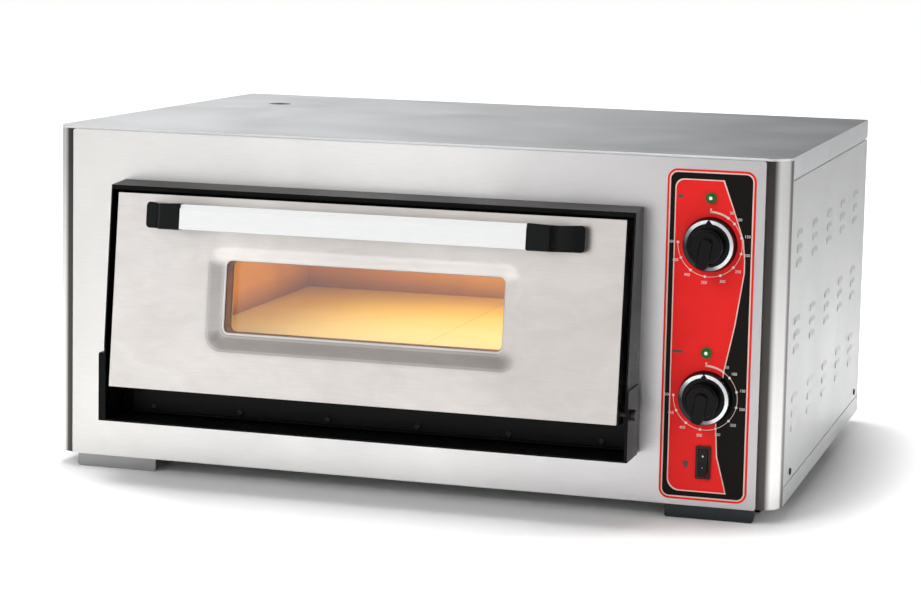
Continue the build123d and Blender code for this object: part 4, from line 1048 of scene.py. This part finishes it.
def add_area(name, place, target, width, height, power, colour=WHITE):
    light = bpy.data.lights.new(name, "AREA")
    light.shape = "RECTANGLE"
    light.size = width
    light.size_y = height
    light.energy = power
    light.color = colour
    lamp = bpy.data.objects.new(name, light)
    show(lamp)
    lamp.location = place
    lamp.rotation_euler = (Vector(target) - Vector(place)).to_track_quat("-Z", "Y").to_euler()
    return lamp


def make_lights():
    """Two softboxes that no reflection shows, and the chamber's own warm light."""
    middle = (cad_low + cad_high) / 2
    for name, (place, width, height, power) in SOFTBOXES.items():
        add_area(name, place, middle, width, height, power).visible_glossy = False
    low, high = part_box("chamber_liner")
    centre = (low + high) / 2
    ceiling = Vector((centre.x, centre.y, high.z - CEILING_GLOW_DROP))
    side = CEILING_GLOW_SIDE
    add_area("chamber_ceiling_glow", ceiling, ceiling - Vector((0, 0, 1)), side, side,
             CEILING_GLOW_POWER, CEILING_GLOW_COLOUR)
    glow = bpy.data.lights.new("chamber_lamp_glow", "POINT")
    glow.energy = LAMP_GLOW_POWER
    glow.color = LAMP_GLOW_COLOUR
    glow.shadow_soft_size = LAMP_GLOW_RADIUS
    bulb = bpy.data.objects.new("chamber_lamp_glow", glow)
    show(bulb)
    lamp_low, lamp_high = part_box("lamp_glass")
    centre = (lamp_low + lamp_high) / 2
    bulb.location = (lamp_low.x - LAMP_GLOW_INWARD, centre.y - LAMP_GLOW_FORWARD, centre.z)


CAMERA_PLACE = Vector((0.8971, FRONT_Y - 2.7597, BODY_BOTTOM + 0.6584))
CAMERA_YAW = math.radians(15.718)
CAMERA_PITCH = math.radians(6.415)
CAMERA_ROLL = math.radians(1.288)
SENSOR_WIDTH = 36.0
LENS_LENGTH = 97.52
LENS_SHIFT_X = -0.0494
LENS_SHIFT_Y = -0.1004


def make_camera():
    """A long lens from the front right, a little above the oven."""
    forward = Vector((
        -math.sin(CAMERA_YAW) * math.cos(CAMERA_PITCH),
        math.cos(CAMERA_YAW) * math.cos(CAMERA_PITCH),
        -math.sin(CAMERA_PITCH),
    ))
    level = Vector((math.cos(CAMERA_YAW), math.sin(CAMERA_YAW), 0))
    above = level.cross(forward)
    right = level * math.cos(CAMERA_ROLL) + above * math.sin(CAMERA_ROLL)
    up = above * math.cos(CAMERA_ROLL) - level * math.sin(CAMERA_ROLL)
    data = bpy.data.cameras.new("camera")
    data.sensor_width = SENSOR_WIDTH
    data.lens = LENS_LENGTH
    data.shift_x = LENS_SHIFT_X
    data.shift_y = LENS_SHIFT_Y
    camera = bpy.data.objects.new("camera", data)
    show(camera)
    turn = Matrix((right, up, -forward)).transposed().to_4x4()
    camera.matrix_world = Matrix.Translation(CAMERA_PLACE) @ turn
    bpy.context.scene.camera = camera


# ------------------------------------------------------------------ the object's looks

dress_frame()
print_overlay()
for body_name, axis in KNOB_AXES.items():
    level_name = body_name.split("_")[0]
    print_dial(level_name, axis)
    ring_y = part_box(f"{level_name}_knob")[1].y - SKIRT_DEPTH
    add_knob_ring(body_name, f"{level_name}_knob", axis, ring_y)
print_symbols()
add_rocker_marks()
lens_x = KNOB_AXES["upper_dial"][0]
lens_y = OVERLAY_LOW.y - PILOT_RIM
for level_name, height in PILOT_HEIGHTS.items():
    add_lamp_lens(f"{level_name}_pilot_lens", lens_x, lens_y, BODY_BOTTOM + height)
make_floor()
make_world()
make_lights()
make_camera()
bpy.context.scene.view_settings.view_transform = "Standard"
